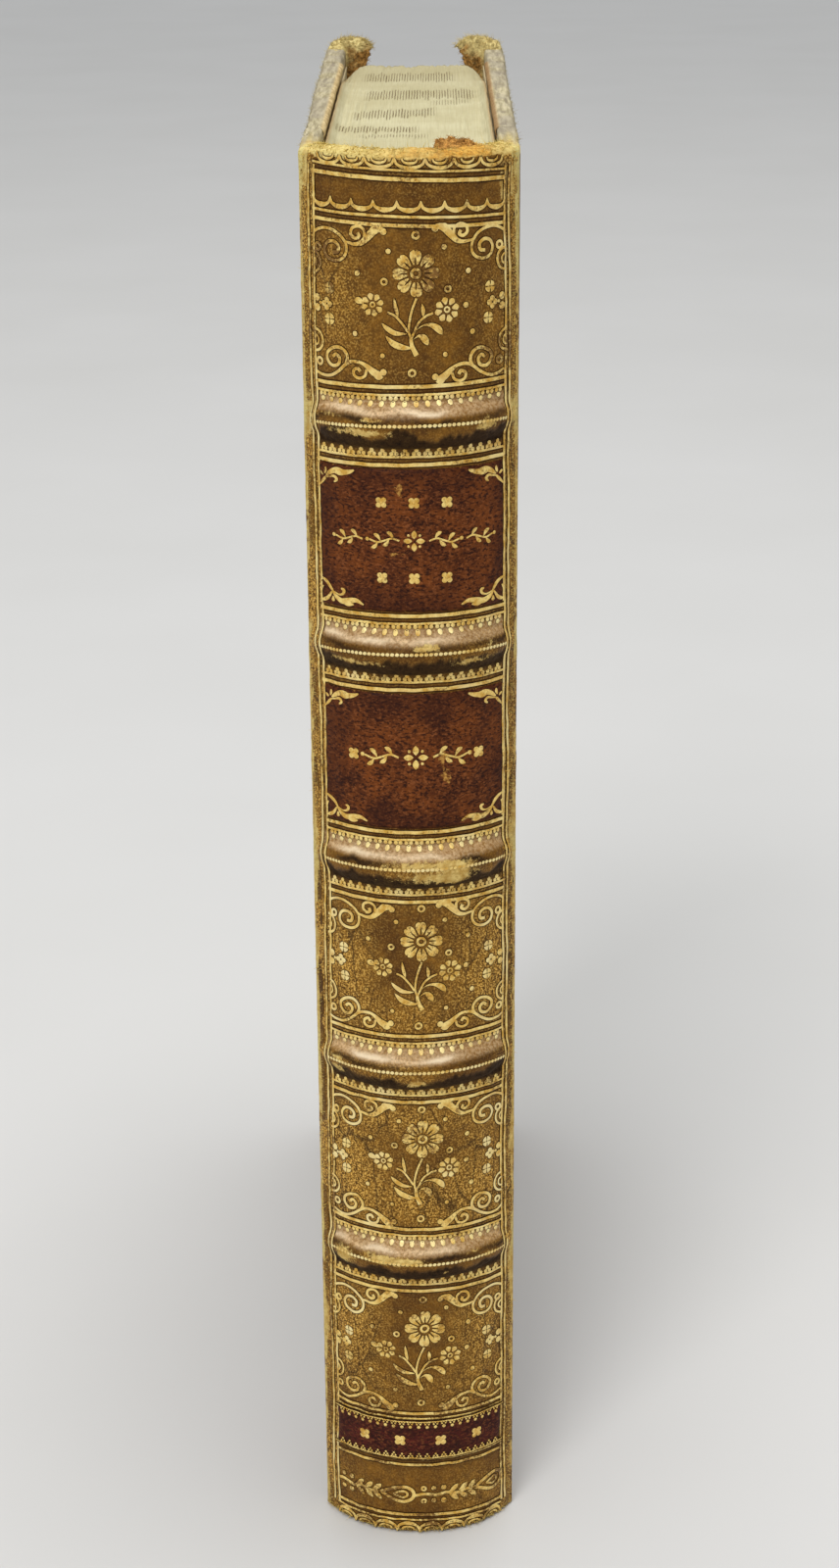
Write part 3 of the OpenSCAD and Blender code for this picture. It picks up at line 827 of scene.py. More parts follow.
def flower_spray(gilt, place):
    """Daisy on a stem with two smaller flowers and leaves, in places measured from the daisy's eye."""
    daisy(gilt, place)
    stems = [
        [(0.0, -2.7), (-0.5, -4.0), (-0.8, -5.2), (-0.9, -6.3), (-0.7, -7.2)],
        [(-3.2, -4.2), (-2.4, -4.6), (-1.6, -5.5), (-1.0, -6.4)],
        [(1.8, -4.4), (1.0, -4.7), (0.2, -5.4), (-0.3, -6.4), (-0.6, -7.0)],
    ]
    for stem in stems:
        gilt.stroke(place(curve(stem)), 0.25)
    leaves = [
        ([(-2.05, -4.7), (-2.3, -3.7), (-2.45, -2.6)], 0.36, 0.45),
        ([(0.7, -4.7), (0.72, -4.0), (0.6, -3.3)], 0.38, 0.45),
        ([(-1.1, -6.6), (-2.4, -6.5), (-3.3, -6.0), (-3.9, -5.4)], 0.52, 0.5),
        ([(-0.6, -8.2), (-1.7, -8.05), (-2.7, -7.6), (-3.5, -6.8)], 0.68, 0.5),
        ([(-0.3, -6.4), (0.6, -5.75), (1.5, -5.7), (2.3, -6.1), (2.8, -6.8)], 0.7, 0.76),
        ([(-0.4, -7.2), (0.2, -6.85), (0.75, -7.1), (1.2, -7.9)], 0.74, 0.72),
    ]
    for rib, wide, lean in leaves:
        path = place(curve(rib))
        gilt.stroke(path, leaf_widths(len(path), wide, lean))
    foot = place(curve([(-0.7, -6.9), (-0.6, -7.9), (-0.1, -9.0)]))
    gilt.stroke(foot, np.linspace(0.34, 0.58, len(foot)))
    little_flower(gilt, Stamp(place([[-4.9, -3.4]])[0]), 1.3)
    bud = place(curve([(-6.95, -2.9), (-6.4, -3.0), (-5.9, -3.3)], 4))
    gilt.stroke(bud, leaf_widths(len(bud), 0.7, 0.4))
    little_flower(gilt, Stamp(place([[3.4, -4.1]])[0]), 1.42)


# Corner scrolls of the panels: places in millimetres from the corner, at the top (1) and at the foot (-1)
SCROLLS = {
    1: {
        "stem": [(0.0, 1.3), (0.8, 0.9), (1.8, 0.7), (3.0, 0.9), (4.0, 1.5), (4.6, 2.4), (4.5, 3.4),
                 (3.8, 4.0), (2.8, 4.1), (2.0, 3.7), (1.75, 2.9), (2.2, 2.2), (3.0, 2.05), (3.6, 2.5),
                 (3.5, 3.15), (2.9, 3.25)],
        "tail": [(4.5, 2.0), (5.0, 2.1), (5.7, 2.2), (6.4, 2.05), (7.0, 1.55), (7.6, 0.95), (8.2, 0.55),
                 (8.9, 0.5)],
        "curl": [(6.8, 1.35), (6.75, 0.65), (6.1, 0.25), (5.35, 0.5), (5.2, 1.15), (5.7, 1.55),
                 (6.15, 1.35), (6.0, 0.95)],
        "ring": (0.75, 2.8),
        "knob": (8.95, 0.75),
        "lobe": [(7.3, 1.0), (7.8, 0.5), (8.3, 0.25)],
    },
    -1: {
        "stem": [(0.0, 1.0), (1.0, 0.7), (2.2, 0.7), (3.4, 1.3), (4.4, 2.1), (5.2, 2.45), (6.2, 2.4)],
        "tail": [(5.2, 2.4), (6.1, 2.4), (6.9, 2.0), (7.6, 1.4), (8.2, 1.05), (8.7, 1.0)],
        "coil": [(4.4, 2.1), (4.65, 2.8), (4.4, 3.5), (3.7, 3.95), (2.7, 3.8), (1.95, 3.2), (1.95, 2.4),
                 (2.6, 1.85), (3.4, 2.05), (3.65, 2.7), (3.2, 3.15), (2.75, 2.85)],
        "curl": [(6.9, 1.6), (6.65, 0.85), (5.95, 0.6), (5.4, 0.9), (5.35, 1.45), (5.85, 1.7),
                 (6.15, 1.35)],
        "ring": (0.7, 2.2),
        "knob": (8.85, 1.3),
        "lobe": [(7.6, 1.2), (8.2, 0.75), (8.8, 0.75)],
    },
}


def corner_scroll(gilt, place, up):
    """Scroll for a corner at (0, 0) with the panel in the positive directions.

    up is 1 at the top and -1 at the foot.
    """
    part = SCROLLS[up]
    stem = curve(part["stem"])
    gilt.stroke(place(stem), np.linspace(0.31, 0.4, len(stem)))
    if "coil" in part:
        gilt.stroke(place(curve(part["coil"])), 0.38)
    tail = curve(part["tail"])
    gilt.stroke(place(tail), profile(tail, [0, 0.3, 0.65, 0.85, 1], [0.24, 0.4, 0.84, 0.8, 0.5]))
    lobe = curve(part["lobe"], 4)
    gilt.stroke(place(lobe), leaf_widths(len(lobe), 0.55))
    curl = curve(part["curl"])
    gilt.stroke(place(curl), np.linspace(0.3, 0.4, len(curl)))
    gilt.disc(place([part["knob"]])[0], 0.38, sides=9)
    gilt.disc(place([part["ring"]])[0], 0.54, 0.22)


def crossed_disc(gilt, at, radius=0.66, gap=0.16):
    """Small round tool cut in four by a cross."""
    for k in range(4):
        start, sweep = math.pi / 2 * k + gap, math.pi / 2 - 2 * gap
        gilt.disc(at, radius, 0.1, halo=0.08, sides=5, start=start, sweep=sweep)


def side_cluster(gilt, at, way):
    """Four lobes and two half lobes that touch the upright line. way points to the panel's middle."""
    for k in range(4):
        gilt.disc(toward(at, 0.42, math.pi / 2 * k), 0.34, sides=8)
    for rise in (-0.55, 0.55):
        gilt.disc((at[0] - way * 1.45, at[1] + rise), 0.45, sides=8)
    gilt.disc((at[0] - way * 0.95, at[1]), 0.22, sides=6)


# Half the width of the tooled field, and the height of a panel in it
EDGE = HALF_ARC - 2.3
PANEL_HIGH = 17.7

# Rings and dots of a panel: arc length, height from its middle, radius
RINGS = [(0.7, 7.9, 0.5), (0.35, -7.3, 0.5), (-2.85, 2.75, 0.44), (4.15, 1.95, 0.44)]
DOTS = [
    (-2.3, 6.05, 0.3), (3.75, 6.35, 0.3), (-5.9, 3.5, 0.3), (6.6, 3.85, 0.32), (6.3, 0.1, 0.34),
    (-6.25, -3.05, 0.3), (7.1, -3.15, 0.32), (-3.0, -5.5, 0.28), (3.85, -5.25, 0.28),
]


def flower_panel(name, middle, seed):
    """One gilt flower panel between its lines."""
    draw = np.random.default_rng(seed)
    gilt = Tooling()

    def near(u, z, spread=0.14):
        return np.array((u, z)) + draw.uniform(-spread, spread, 2)

    def turned():
        return draw.uniform(-0.04, 0.04)

    flower_spray(gilt, Stamp(near(0.75, middle + 3.6), turn=turned()))
    for across in (-1, 1):
        facing = math.pi if across > 0 else 0
        for up in (-1, 1):
            spot = near(across * EDGE, middle + up * PANEL_HIGH / 2)
            corner_scroll(gilt, Stamp(spot, flip=(-across, -up), turn=turned()), up)
            loop = near(across * (EDGE + 0.1), middle + up * 4.5, 0.2)
            for radius, count, width in ((1.2, 12, 0.3), (0.55, 8, 0.24)):
                gilt.stroke(arc(loop, radius, facing - math.pi / 2, facing + math.pi / 2, count), width)
            crossed_disc(gilt, near(across * 9.4, middle + up * 1.8))
        side_cluster(gilt, near(across * 9.9, middle, 0.1), -across)
    for u, z, radius in RINGS:
        gilt.disc(near(u, middle + z), radius, radius * 0.45)
    for u, z, radius in DOTS:
        gilt.disc(near(u, middle + z), radius, sides=8)
    gilt.build(name, panel_rub_and_glint)


RUB = Waves(31, 6)

# Where the panels' gold has rubbed off: arc length, height, half width, half height, strength
GOLD_RUBBED = [
    (0.75, 162.5, 3.4, 3.4, 0.6), (-10.2, 164.2, 3.4, 3.2, 1.2), (10, 154.5, 3, 2.4, 0.6),
    (0.75, 34.0, 3.4, 3.4, 0.5), (0, 20.5, 14, 3.5, 0.35), (0.75, 84.0, 3.4, 3.4, 0.3),
    (0.75, 57.5, 3.4, 3.4, 0.3),
]


def panel_rub_and_glint(u, z):
    """How far the gold has rubbed off in the panels, with a painted glint (below zero) on the gold towards
    the spine's sides from about 26 to 90 mm up.
    """
    # Painted glint on the gold towards the spine's sides, in the lower panels.
    side_glint = 0.4 * step(np.abs(u), 5, 9) * step(-z, -95, -85) * step(z, 24, 28)
    return np.clip(0.1 + 0.22 * RUB(u, z) + blobs(u, z, GOLD_RUBBED) - side_glint, -0.6, 1)


def across_line(gilt, z, width, tilt=0.0, bow=0.0, reach=EDGE + 0.1):
    """Line across the spine, tilted and bowed a little as a hand tool leaves it."""
    u = np.linspace(-reach, reach, 60)
    wobble = 0.013 * DIMPLE(u, z * 7)
    gilt.stroke(stack(u, z + tilt * u + bow * (1 - (u / reach) ** 2) + wobble), width, halo=0.17)


def dot_triangles(gilt, z, way, pitch=1.27, tilt=0.0, bow=0.0, tip=(0.42, 0.27), size=1.0, pearl=0.26):
    """Row of small pyramids of dots on a fine line of beads. way is 1 where they point up."""
    reach = EDGE - 0.2
    count = int(2 * reach / pitch)
    across_line(gilt, z - way * 0.32, 0.12, tilt, bow, reach + 0.3)
    pyramid = [(du, -0.32, 0.16) for du in (-0.42, 0, 0.42)]
    pyramid += [(-0.28, 0.02, pearl), (0.28, 0.02, pearl), (0, *tip)]
    for k in range(count):
        u = (k - (count - 1) / 2) * pitch
        base = z + tilt * u + bow * (1 - (u / reach) ** 2)
        for du, dz, radius in pyramid:
            gilt.disc((u + size * du, base + way * size * dz), size * radius, sides=7, halo=0.03)


def bands_tooling():
    """Bead line along each band, with dot pyramids and paired lines over and under it."""
    gilt = Tooling()
    bead_pitch = 0.5
    for index, middle in enumerate(BAND_Z):
        tilt = -0.012 + 0.006 * index
        for way in (-1, 1):
            across_line(gilt, middle + way * LINE_NEAR, 0.26, tilt)
            across_line(gilt, middle + way * LINE_FAR, 0.42, tilt)
            tip = (0.56, 0.3) if way > 0 else (0.42, 0.27)
            dot_triangles(gilt, middle + way * (LINE_NEAR - 0.36), -way, tilt=tilt, tip=tip)
        for k in range(int(2 * EDGE / bead_pitch)):
            u = (k + 0.5) * bead_pitch - EDGE
            z = middle - 0.15 + tilt * u + 0.55 * (1 - (u / EDGE) ** 2)
            gilt.stroke([(u - 0.2, z - 0.05), (u, z), (u + 0.2, z + 0.05)], [0.2, 0.42, 0.2], halo=0.0)
    gilt.build("gilt_bands", band_rub_and_glint)


def band_rub_and_glint(u, z):
    """How far the gold has rubbed off along the bands, with a painted glint (below zero) on the beads along
    each crest and on the dot tips of its upper slope.
    """
    # Painted glint on the crest's beads and on the dot tips of the upper slope.
    beads = sum(np.exp(-((z - middle - 0.1) / 0.6) ** 4) for middle in BAND_Z)
    tips = sum(np.exp(-((z - middle - 2.62) / 0.4) ** 2) for middle in BAND_Z)
    rubbed = 0.02 + 0.2 * RUB(u, z) + 0.4 * blobs(u, z, RUBBED)
    return np.clip(rubbed - 0.5 * beads - 0.6 * tips, -0.6, 1)


# Places along the arc where the hanging arcs at the head meet
HEAD_CUSPS = (-11.2, -7.9, -4.9, -1.55, 1.8, 5.0, 8.2, 11.4)


def head_arcs(gilt, z, drop, tilt):
    """Uneven row of double hanging arcs, half hidden by the folded head."""
    for left, right in zip(HEAD_CUSPS, HEAD_CUSPS[1:]):
        middle, half = (left + right) / 2, (right - left) / 2
        t = np.linspace(-1, 1, 15)
        for size, width in ((1.0, 0.4), (0.5, 0.32)):
            u = middle + t * half * size
            height = z + tilt * u - drop * size * np.sqrt(np.clip(1 - t * t, 0, 1)) ** 0.9
            gilt.stroke(stack(u, height), width - 0.12 * np.abs(t))


def scallops(gilt, z, pitch, drop, way=1, tilt=0.0, double=False):
    """Row of hanging arcs (way 1) or standing arcs (way -1) that meet in cusps."""
    count = round(2 * EDGE / pitch)
    pitch = 2 * EDGE / count
    t = np.linspace(-1, 1, 13)
    hang = np.sqrt(1 - t * t)
    for k in range(count):
        middle = (k + 0.5) * pitch - EDGE
        u = middle + t * pitch / 2
        gilt.stroke(stack(u, z + tilt * u - way * drop * hang), 0.3 + 0.28 * (1 - np.abs(t)))
        if double:
            inner = middle + 0.55 * t * pitch / 2
            gilt.stroke(stack(inner, z + tilt * u - way * drop * 0.45 * hang), 0.26)
    for k in range(count + 1):
        u = k * pitch - EDGE
        gilt.stroke([(u, z + tilt * u - way * 0.05), (u, z + tilt * u + way * 0.3)], [0.4, 0.12])


def head_tooling():
    """Hanging arcs, paired lines and scallops near the head."""
    gilt = Tooling()
    head_arcs(gilt, 175.5, 0.95, tilt=-0.02)
    for z, width in zip(HEAD_LINES[:2], (0.24, 0.44)):
        across_line(gilt, z, width, -0.038)
    scallops(gilt, 170.75, 2.58, 0.75, tilt=-0.02)
    for z, width in zip(HEAD_LINES[2:], (0.3, 0.38)):
        across_line(gilt, z, width, -0.03)
    gilt.build("gilt_head", panel_rub_and_glint)


# Outline of the tail roll's loops, and its rings: distance along the roll, radius, radius of the hole
TEARDROP = np.array([
    (-2.6, 0.0), (-1.6, 0.5), (-0.4, 0.98), (0.8, 1.08), (1.6, 0.62), (1.8, -0.05), (1.45, -0.75),
    (0.5, -1.15), (-0.6, -0.98), (-1.7, -0.45), (-2.6, -0.02),
])
ROLL_RINGS = ((3.1, 0.42, 0.14), (4.4, 0.34, 0.0), (5.7, 0.38, 0.0))
ROLL_LEAVES = (7.0, 8.3, 9.5)
ROLL_STARTS = (-15.1, -2.5, 10.1)
ROLL_PERIOD = 12.6


def tail_roll(gilt, z):
    """Rolled border of loops, rings and leaves on a wavy stem."""
    for start in ROLL_STARTS:
        for size, width in ((1.0, 0.46), (0.42, 0.3)):
            loop = curve(TEARDROP * size + (start + 0.35 * (1 - size), z), 6)
            keep = np.abs(loop[:, 0]) < EDGE
            if keep.sum() > 4:
                gilt.stroke(loop[keep], width)
        for along, radius, hole in ROLL_RINGS:
            if abs(start + along) < EDGE - 0.4:
                for up in (-1, 1):
                    gilt.disc((start + along, z + up * 0.95), radius, hole, sides=9)
        stem = np.linspace(start + 1.8, start + ROLL_PERIOD - 3.0, 18)
        stem = stem[np.abs(stem) < EDGE]
        if len(stem) > 3:
            gilt.stroke(stack(stem, z + 0.15 * np.sin(stem * 2.2)), 0.42)
        for along in ROLL_LEAVES:
            u = start + along
            if abs(u) < EDGE - 0.6:
                for up in (-1, 1):
                    leaf = curve([(u - 0.6, z + up * 0.2), (u, z + up * 0.55), (u + 0.6, z + up * 1.15)], 4)
                    gilt.stroke(leaf, leaf_widths(len(leaf), 0.64, 0.6))


def tail_tooling():
    """Standing scallops, lines and the rolled border near the tail."""
    gilt = Tooling()
    scallops(gilt, 0.5, 3.05, 0.95, way=-1, double=True)
    for z, width in zip(TAIL_LINES, (0.38, 0.26, 0.28, 0.36, 0.4, 0.28)):
        across_line(gilt, z, width, tilt=-0.008, bow=0.25)
    tail_roll(gilt, 5.9)
    gilt.build("gilt_tail", lambda u, z: np.clip(0.36 + 0.25 * RUB(u, z), 0, 1))


def upright_lines():
    """Pairs of upright lines along both sides of the spine."""
    gilt = Tooling()
    z = np.linspace(2.0, HEIGHT - 1.6, 320)
    for side in (-1, 1):
        for offset, width in ((0.08 if side > 0 else -0.1, 0.32), (0.78, 0.34)):
            wobble = 0.05 * SWELL(side * 7, z * 1.3) + 0.015 * DIMPLE(offset * 9, z)
            gilt.stroke(stack(side * (EDGE + offset) + wobble, z), width, halo=0.14)
    gilt.build("gilt_uprights", lambda u, z: np.clip(0.05 + 0.35 * RUB(u, z * 0.6), -0.4, 1))


# Corner ornaments of the labels: rib, width and lean of each leaf, at the top (1) and at the foot (-1)
FLEURONS = {
    1: [
        ([(1.3, 1.3), (2.0, 0.8), (2.9, 0.45), (3.9, 0.6), (4.7, 0.45), (5.3, 0.2)], 0.62, 0.45),
        ([(2.6, 0.75), (3.4, 0.85), (4.2, 0.75)], 0.36, 0.5),
        ([(1.1, 1.55), (1.8, 1.4), (2.5, 1.25), (2.85, 1.6), (2.5, 1.95)], 0.34, 0.7),
        ([(0.15, 2.6), (0.75, 2.0), (1.3, 1.45)], 0.34, 0.6),
        ([(1.05, 1.1), (1.2, 0.7), (1.25, 0.3)], 0.34, 0.5),
        ([(0.3, 0.95), (0.75, 1.35)], 0.28, 0.5),
    ],
    -1: [
        ([(1.7, 1.5), (2.3, 0.9), (3.1, 0.55), (4.1, 0.75), (5.1, 0.85), (6.0, 0.45)], 0.62, 0.5),
        ([(3.3, 0.35), (4.0, 0.25), (4.7, 0.35)], 0.36, 0.5),
        ([(1.9, 1.5), (2.6, 1.25), (3.2, 1.4), (3.4, 1.85), (3.0, 2.05)], 0.36, 0.75),
        ([(-0.1, 2.9), (0.5, 2.75), (1.2, 2.3), (1.9, 1.4)], 0.38, 0.6),
        ([(1.65, 1.5), (1.1, 0.7), (0.5, 0.35), (0.0, 0.25)], 0.4, 0.5),
        ([(0.35, 2.0), (0.0, 1.5), (0.0, 0.9)], 0.3, 0.5),
        ([(1.8, 0.95), (1.8, 0.6), (1.8, 0.3)], 0.42, 0.65),
    ],
}


def fleuron(gilt, place, up):
    """Leafy corner ornament for a label's corner at (0, 0). up is 1 at the top, -1 at the foot."""
    for rib, wide, lean in FLEURONS[up]:
        path = curve(rib, 5)
        gilt.stroke(place(path), 0.1 + leaf_widths(len(path), wide - 0.1, lean), halo=0.0)


def quatrefoil(gilt, at, size):
    """Four small lobes round a dot."""
    for k in range(4):
        gilt.disc(toward(at, 0.52 * size, math.pi / 4 + math.pi / 2 * k), 0.4 * size, sides=9, halo=0.0)
    gilt.disc(at, 0.2 * size, sides=8, halo=0.0)


def pointed_flower(gilt, at, size):
    """Four pointed petals with a dot between each two."""
    for k in range(4):
        way = np.array([math.cos(math.pi / 2 * k), math.sin(math.pi / 2 * k)]) * size
        rib = np.asarray(at) + np.outer(np.linspace(0.2, 1.05, 7), way)
        gilt.stroke(rib, leaf_widths(7, 0.5 * size), halo=0.0)
        side = np.array([way[0] - way[1], way[0] + way[1]]) * 0.55
        gilt.disc(np.asarray(at) + side, 0.14 * size, sides=7, halo=0.0)


# A sprig's stem, and the foot and reach of each of its leaves
SPRIG_STEM = [(-1.6, 0.0), (-0.8, 0.25), (0.0, 0.0), (0.8, -0.22), (1.7, 0.05)]
SPRIG_LEAVES = [
    (-1.0, 0.2, 0.75, 0.75), (-0.5, 0.15, 0.7, -0.75), (0.45, -0.1, 0.75, 0.8), (0.75, -0.2, 0.75, -0.7),
]


def sprig(gilt, at, way, size):
    """Short running sprig: a stem that waves sideways with leaves above and below."""
    at = np.asarray(at, float)
    stem = curve([at + (way * a * size, b * size) for a, b in SPRIG_STEM])
    gilt.stroke(stem, 0.2 * size, halo=0.0)
    for a, b, da, db in SPRIG_LEAVES:
        start = at + (way * a * size, b * size)
        middle = start + (way * da * 0.45 * size, db * 0.7 * size)
        rib = curve([start, middle, start + (way * da * size, db * size)], 5)
        gilt.stroke(rib, leaf_widths(len(rib), 0.38 * size, 0.6), halo=0.0)
    gilt.disc(at + (way * 1.95 * size, 0.08 * size), 0.22 * size, sides=8, halo=0.0)


def garland(gilt, z, sprigs, size):
    """Pointed flower in the middle with sprigs running out to both sides."""
    pointed_flower(gilt, (0.3, z), size * 1.1)
    for way in (-1, 1):
        for k in range(sprigs):
            sprig(gilt, (0.3 + way * (3.2 + 4.1 * k) * size, z), way, size)


def label_tooling():
    """Frames and corner ornaments of the labels, with plain ornament in the middle."""
    for node in ("title_label", "author_label"):
        low, high = box_mm(node)
        gilt = Tooling()
        reach = EDGE - 0.25
        for side in (-1, 1):
            z = np.linspace(low[2] + 0.1, high[2] - 0.1, 40)
            gilt.stroke(stack(side * reach + 0.01 * DIMPLE(3, z), z), 0.26, halo=0.0)
            fleuron(gilt, Stamp((side * reach, high[2] - 0.15), flip=(-side, -1), size=0.95), 1)
            fleuron(gilt, Stamp((side * reach, low[2] + 0.2), flip=(-side, 1), size=0.98), -1)
        middle = (low[2] + high[2]) / 2
        if node == "title_label":
            garland(gilt, middle + 0.1, 2, 1.05)
            for up in (-1, 1):
                for u in (-3.4, 0.3, 4.0):
                    quatrefoil(gilt, (u, middle + 0.1 + up * 4.4), 0.8)
        else:
            garland(gilt, middle + 0.6, 1, 1.25)
            for way in (-1, 1):
                quatrefoil(gilt, (0.3 + way * 7.6, middle + 0.6), 0.85)
        gilt.build(f"gilt_{node}", label_rub, LABEL_RISE, "label")
    low, high = box_mm("date_label")
    gilt = Tooling()
    middle = (low[2] + high[2]) / 2
    for u in (-7.2, -2.4, 2.8, 7.7):
        quatrefoil(gilt, (u, middle), 0.9)
    dot_triangles(gilt, high[2] - 0.2, -1, 1.07, bow=0.1, tip=(0.54, 0.29), size=0.8, pearl=0.17)
    dot_triangles(gilt, low[2] + 0.2, 1, 1.07, bow=0.1, tip=(0.44, 0.2), size=0.74, pearl=0.18)
    gilt.build("gilt_date_label", label_rub, LABEL_RISE, "label")


def label_rub(u, z):
    """How far the gold has rubbed off, on the labels."""
    return np.clip(0.05 + 0.15 * RUB(u, z) + 0.9 * blobs(u, z, sum(SCUFFS.values(), [])), 0, 1)


def lattice_box(xs, ys, zs):
    """Points and quads on the surface of a box cut at the given places."""
    nx, ny, nz = len(xs), len(ys), len(zs)
    number = -np.ones((nx, ny, nz), int)
    surface = np.zeros((nx, ny, nz), bool)
    surface[[0, -1], :, :] = surface[:, [0, -1], :] = surface[:, :, [0, -1]] = True
    number[surface] = np.arange(surface.sum())
    i, j, k = np.nonzero(surface)
    faces = []
    for sheet, flip in (
        (number[0], False), (number[-1], True), (number[:, 0], True),
        (number[:, -1], False), (number[:, :, 0], False), (number[:, :, -1], True),
    ):
        faces += quads(sheet, flip)
    return stack(np.asarray(xs)[i], np.asarray(ys)[j], np.asarray(zs)[k]), faces


def cuts(low, high, pitch, fine=0.25, margin=1.5):
    """Places from low to high, pitch apart but close together near both ends."""
    ends = np.arange(0, margin, fine)
    middle = np.linspace(low + margin, high - margin, max(2, int((high - low - 2 * margin) / pitch) + 1))
    return np.concatenate([low + ends, middle, (high - ends)[::-1]])


def rounded(points, low, high, radius):
    """Pulls a box's points in so that its edges and corners are round."""
    core = np.clip(points, low + radius, high - radius)
    away = points - core
    length = np.linalg.norm(away, axis=1, keepdims=True)
    return np.where(length > 1e-9, core + away / np.maximum(length, 1e-9) * radius, points)


EDGE_DENTS = Waves(41, 9)
EDGE_NICKS = Waves(42, 1.9)

# How far a cover's outer face swells out along its head: depths from the joint, and the swelling there
SWELLING_DEPTHS = (0, 22, 52, 97, 107)
SWELLING = {"front": (0.1, 0.3, 0.4, 0.65, 0.65), "back": (0, 0.1, 0.55, 0.7, 0.7)}
TURN_IN = 12


def swelling(word, depth):
    """Swelling of a cover's head at a depth from the joint."""
    return np.interp(depth, SWELLING_DEPTHS, SWELLING[word])


def to_edges(co, low, high):
    """Distance of points on a cover from the nearest of its head, tail and fore-edge."""
    return np.minimum(np.minimum(high[2] - co[:, 2], co[:, 2] - low[2]), high[1] - co[:, 1])


def wrapping(low, high, radius, zone):
    """Rounded skin round a board, cut by the planes of zone and open inside its turned-in edges."""
    xs = np.linspace(low[0], high[0], 9)
    points, faces = lattice_box(xs, cuts(low[1], high[1], 1.6), cuts(low[2], high[2], 1.6))
    bm = bmesh.new()
    made = [bm.verts.new(p) for p in rounded(points, low, high, radius)]
    for face in faces:
        bm.faces.new([made[i] for i in face])
    for at, normal in [((0, BOARD_LOW[1], 0), (0, 1, 0))] + zone:
        everything = bm.verts[:] + bm.edges[:] + bm.faces[:]
        bmesh.ops.bisect_plane(bm, geom=everything, plane_co=at, plane_no=normal, clear_inner=True)
    gone = []
    for face in bm.faces:
        x, y, z = face.calc_center_median()
        inner = abs(face.normal.x) > 0.9 and x < low[0] + 0.1
        if inner and y < high[1] - TURN_IN and low[2] + TURN_IN < z < high[2] - TURN_IN:
            gone.append(face)
    bmesh.ops.delete(bm, geom=gone, context="FACES")
    bm.normal_update()
    return bm


def cover_layers(co, low, high, word, marbled):
    """Wear and stains of one cover's leather or paper at its points, with painted shade on the front cover's
    glue strip.
    """
    seed = 0 if word == "front" else 1
    near_head = step(co[:, 2], HEIGHT - 3, HEIGHT - 1)
    scuffs = 0.42 * EDGE_DENTS(co[:, 1] * 1.2 + seed * 5, co[:, 2] * 1.2)
    edge_wear = step(-to_edges(co, low, high), -1.6, -0.2) * (0.55 + 0.3 * near_head)
    bare_from = co[:, 1] - JOINT_Y + 2.5 * EDGE_NICKS(co[:, 0] * 2, 3)
    glue = near_head * step(-co[:, 0], -low[0] - 0.5, -low[0] - 0.1)
    zero = np.zeros(len(co))
    return {
        "wear": edge_wear + 0.12 * np.clip(scuffs, -1, 1),
        "pale": near_head * (0.5 + 0.3 * EDGE_DENTS(co[:, 1] * 2, 7)).clip(0, 1),
        "bare": near_head * step(bare_from, -2, 14),
        # Painted shade: the front cover's glue strip is painted darker than the back's.
        "dark": 0.7 * glue if marbled and word == "front" else zero,
        "glue": glue, "raw": zero, "polish_and_painted_sheen": zero, "fade": zero,
    }


def cover_sheet(name, word, thickness, radius, zone, material, slot, node):
    """A covering of one cover, wrapped round the edges of its board and turned in.

    zone lists planes (point, normal) that keep what lies on the side the normal points to.
    """
    seed = 0 if word == "front" else 1
    low = BOARD_LOW - (0, 4, thickness)
    high = BOARD_HIGH + thickness
    bm = wrapping(low, high, radius, zone)
    co = np.array([v.co for v in bm.verts])
    normal = np.array([v.normal for v in bm.verts])
    bump = 0.05 * EDGE_DENTS(co[:, 1] + seed * 31, co[:, 2])
    bump = bump + 0.04 * EDGE_NICKS(co[:, 1] + seed * 17, co[:, 2] + co[:, 0])
    on_edge = step(-to_edges(co, low, high), -1.3, 0)
    flush = (LEATHER - thickness) * on_edge
    co += normal * (flush - np.abs(bump) * (0.3 + 1.2 * on_edge))[:, None]
    outward = step(co[:, 0], low[0] + 0.4, high[0])
    co[:, 0] += swelling(word, co[:, 1] - JOINT_Y) * outward * step(co[:, 2], HEIGHT - 70, HEIGHT)
    for v, p in zip(bm.verts, co):
        v.co = p
    bmesh.ops.recalc_face_normals(bm, faces=bm.faces[:])
    bmesh.ops.solidify(bm, geom=bm.faces[:], thickness=thickness * 0.96)
    co = np.array([v.co for v in bm.verts])
    faces = [[v.index for v in f.verts] for f in bm.faces]
    bm.free()
    layers = cover_layers(co, low, high, word, material is MARBLED)
    if SIDES[word] < 0:
        co[:, 0] *= -1
        faces = [face[::-1] for face in faces]
    piece = make_mesh(name, co, faces, material, slot, layers)
    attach(piece, f"{word}_cover")
    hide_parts(node)


def covers():
    """Leather strips, leather corners and paper sides of both covers."""
    strip_edge = (0, LEATHER_HIGH[1], 0)
    top, bottom = (0, CORNER_LOW[1], HEIGHT), (0, CORNER_LOW[1], 0)
    paper = PAPER_HIGH[0] - BOARD_HIGH[0]
    between = [(strip_edge, (0, 1, 0)), (top, (0, -1, -1)), (bottom, (0, -1, 1))]
    for word in SIDES:
        for part, node, thickness, radius, zone, material, slot in (
            ("strip_leather", "leather_side", LEATHER, 0.5, [(strip_edge, (0, -1, 0))], CALF, "leather"),
            ("top_corner_leather", "top_corner", LEATHER, 0.6, [(top, (0, 1, 1))], CALF, "leather"),
            ("bottom_corner_leather", "bottom_corner", LEATHER, 0.6, [(bottom, (0, 1, -1))], CALF, "leather"),
            ("side_paper", "paper_side", paper, 0.45, between, MARBLED, "side_paper"),
        ):
            name, replaced = f"{word}_{part}", f"{word}_{node}"
            cover_sheet(name, word, thickness, radius, zone, material, slot, replaced)


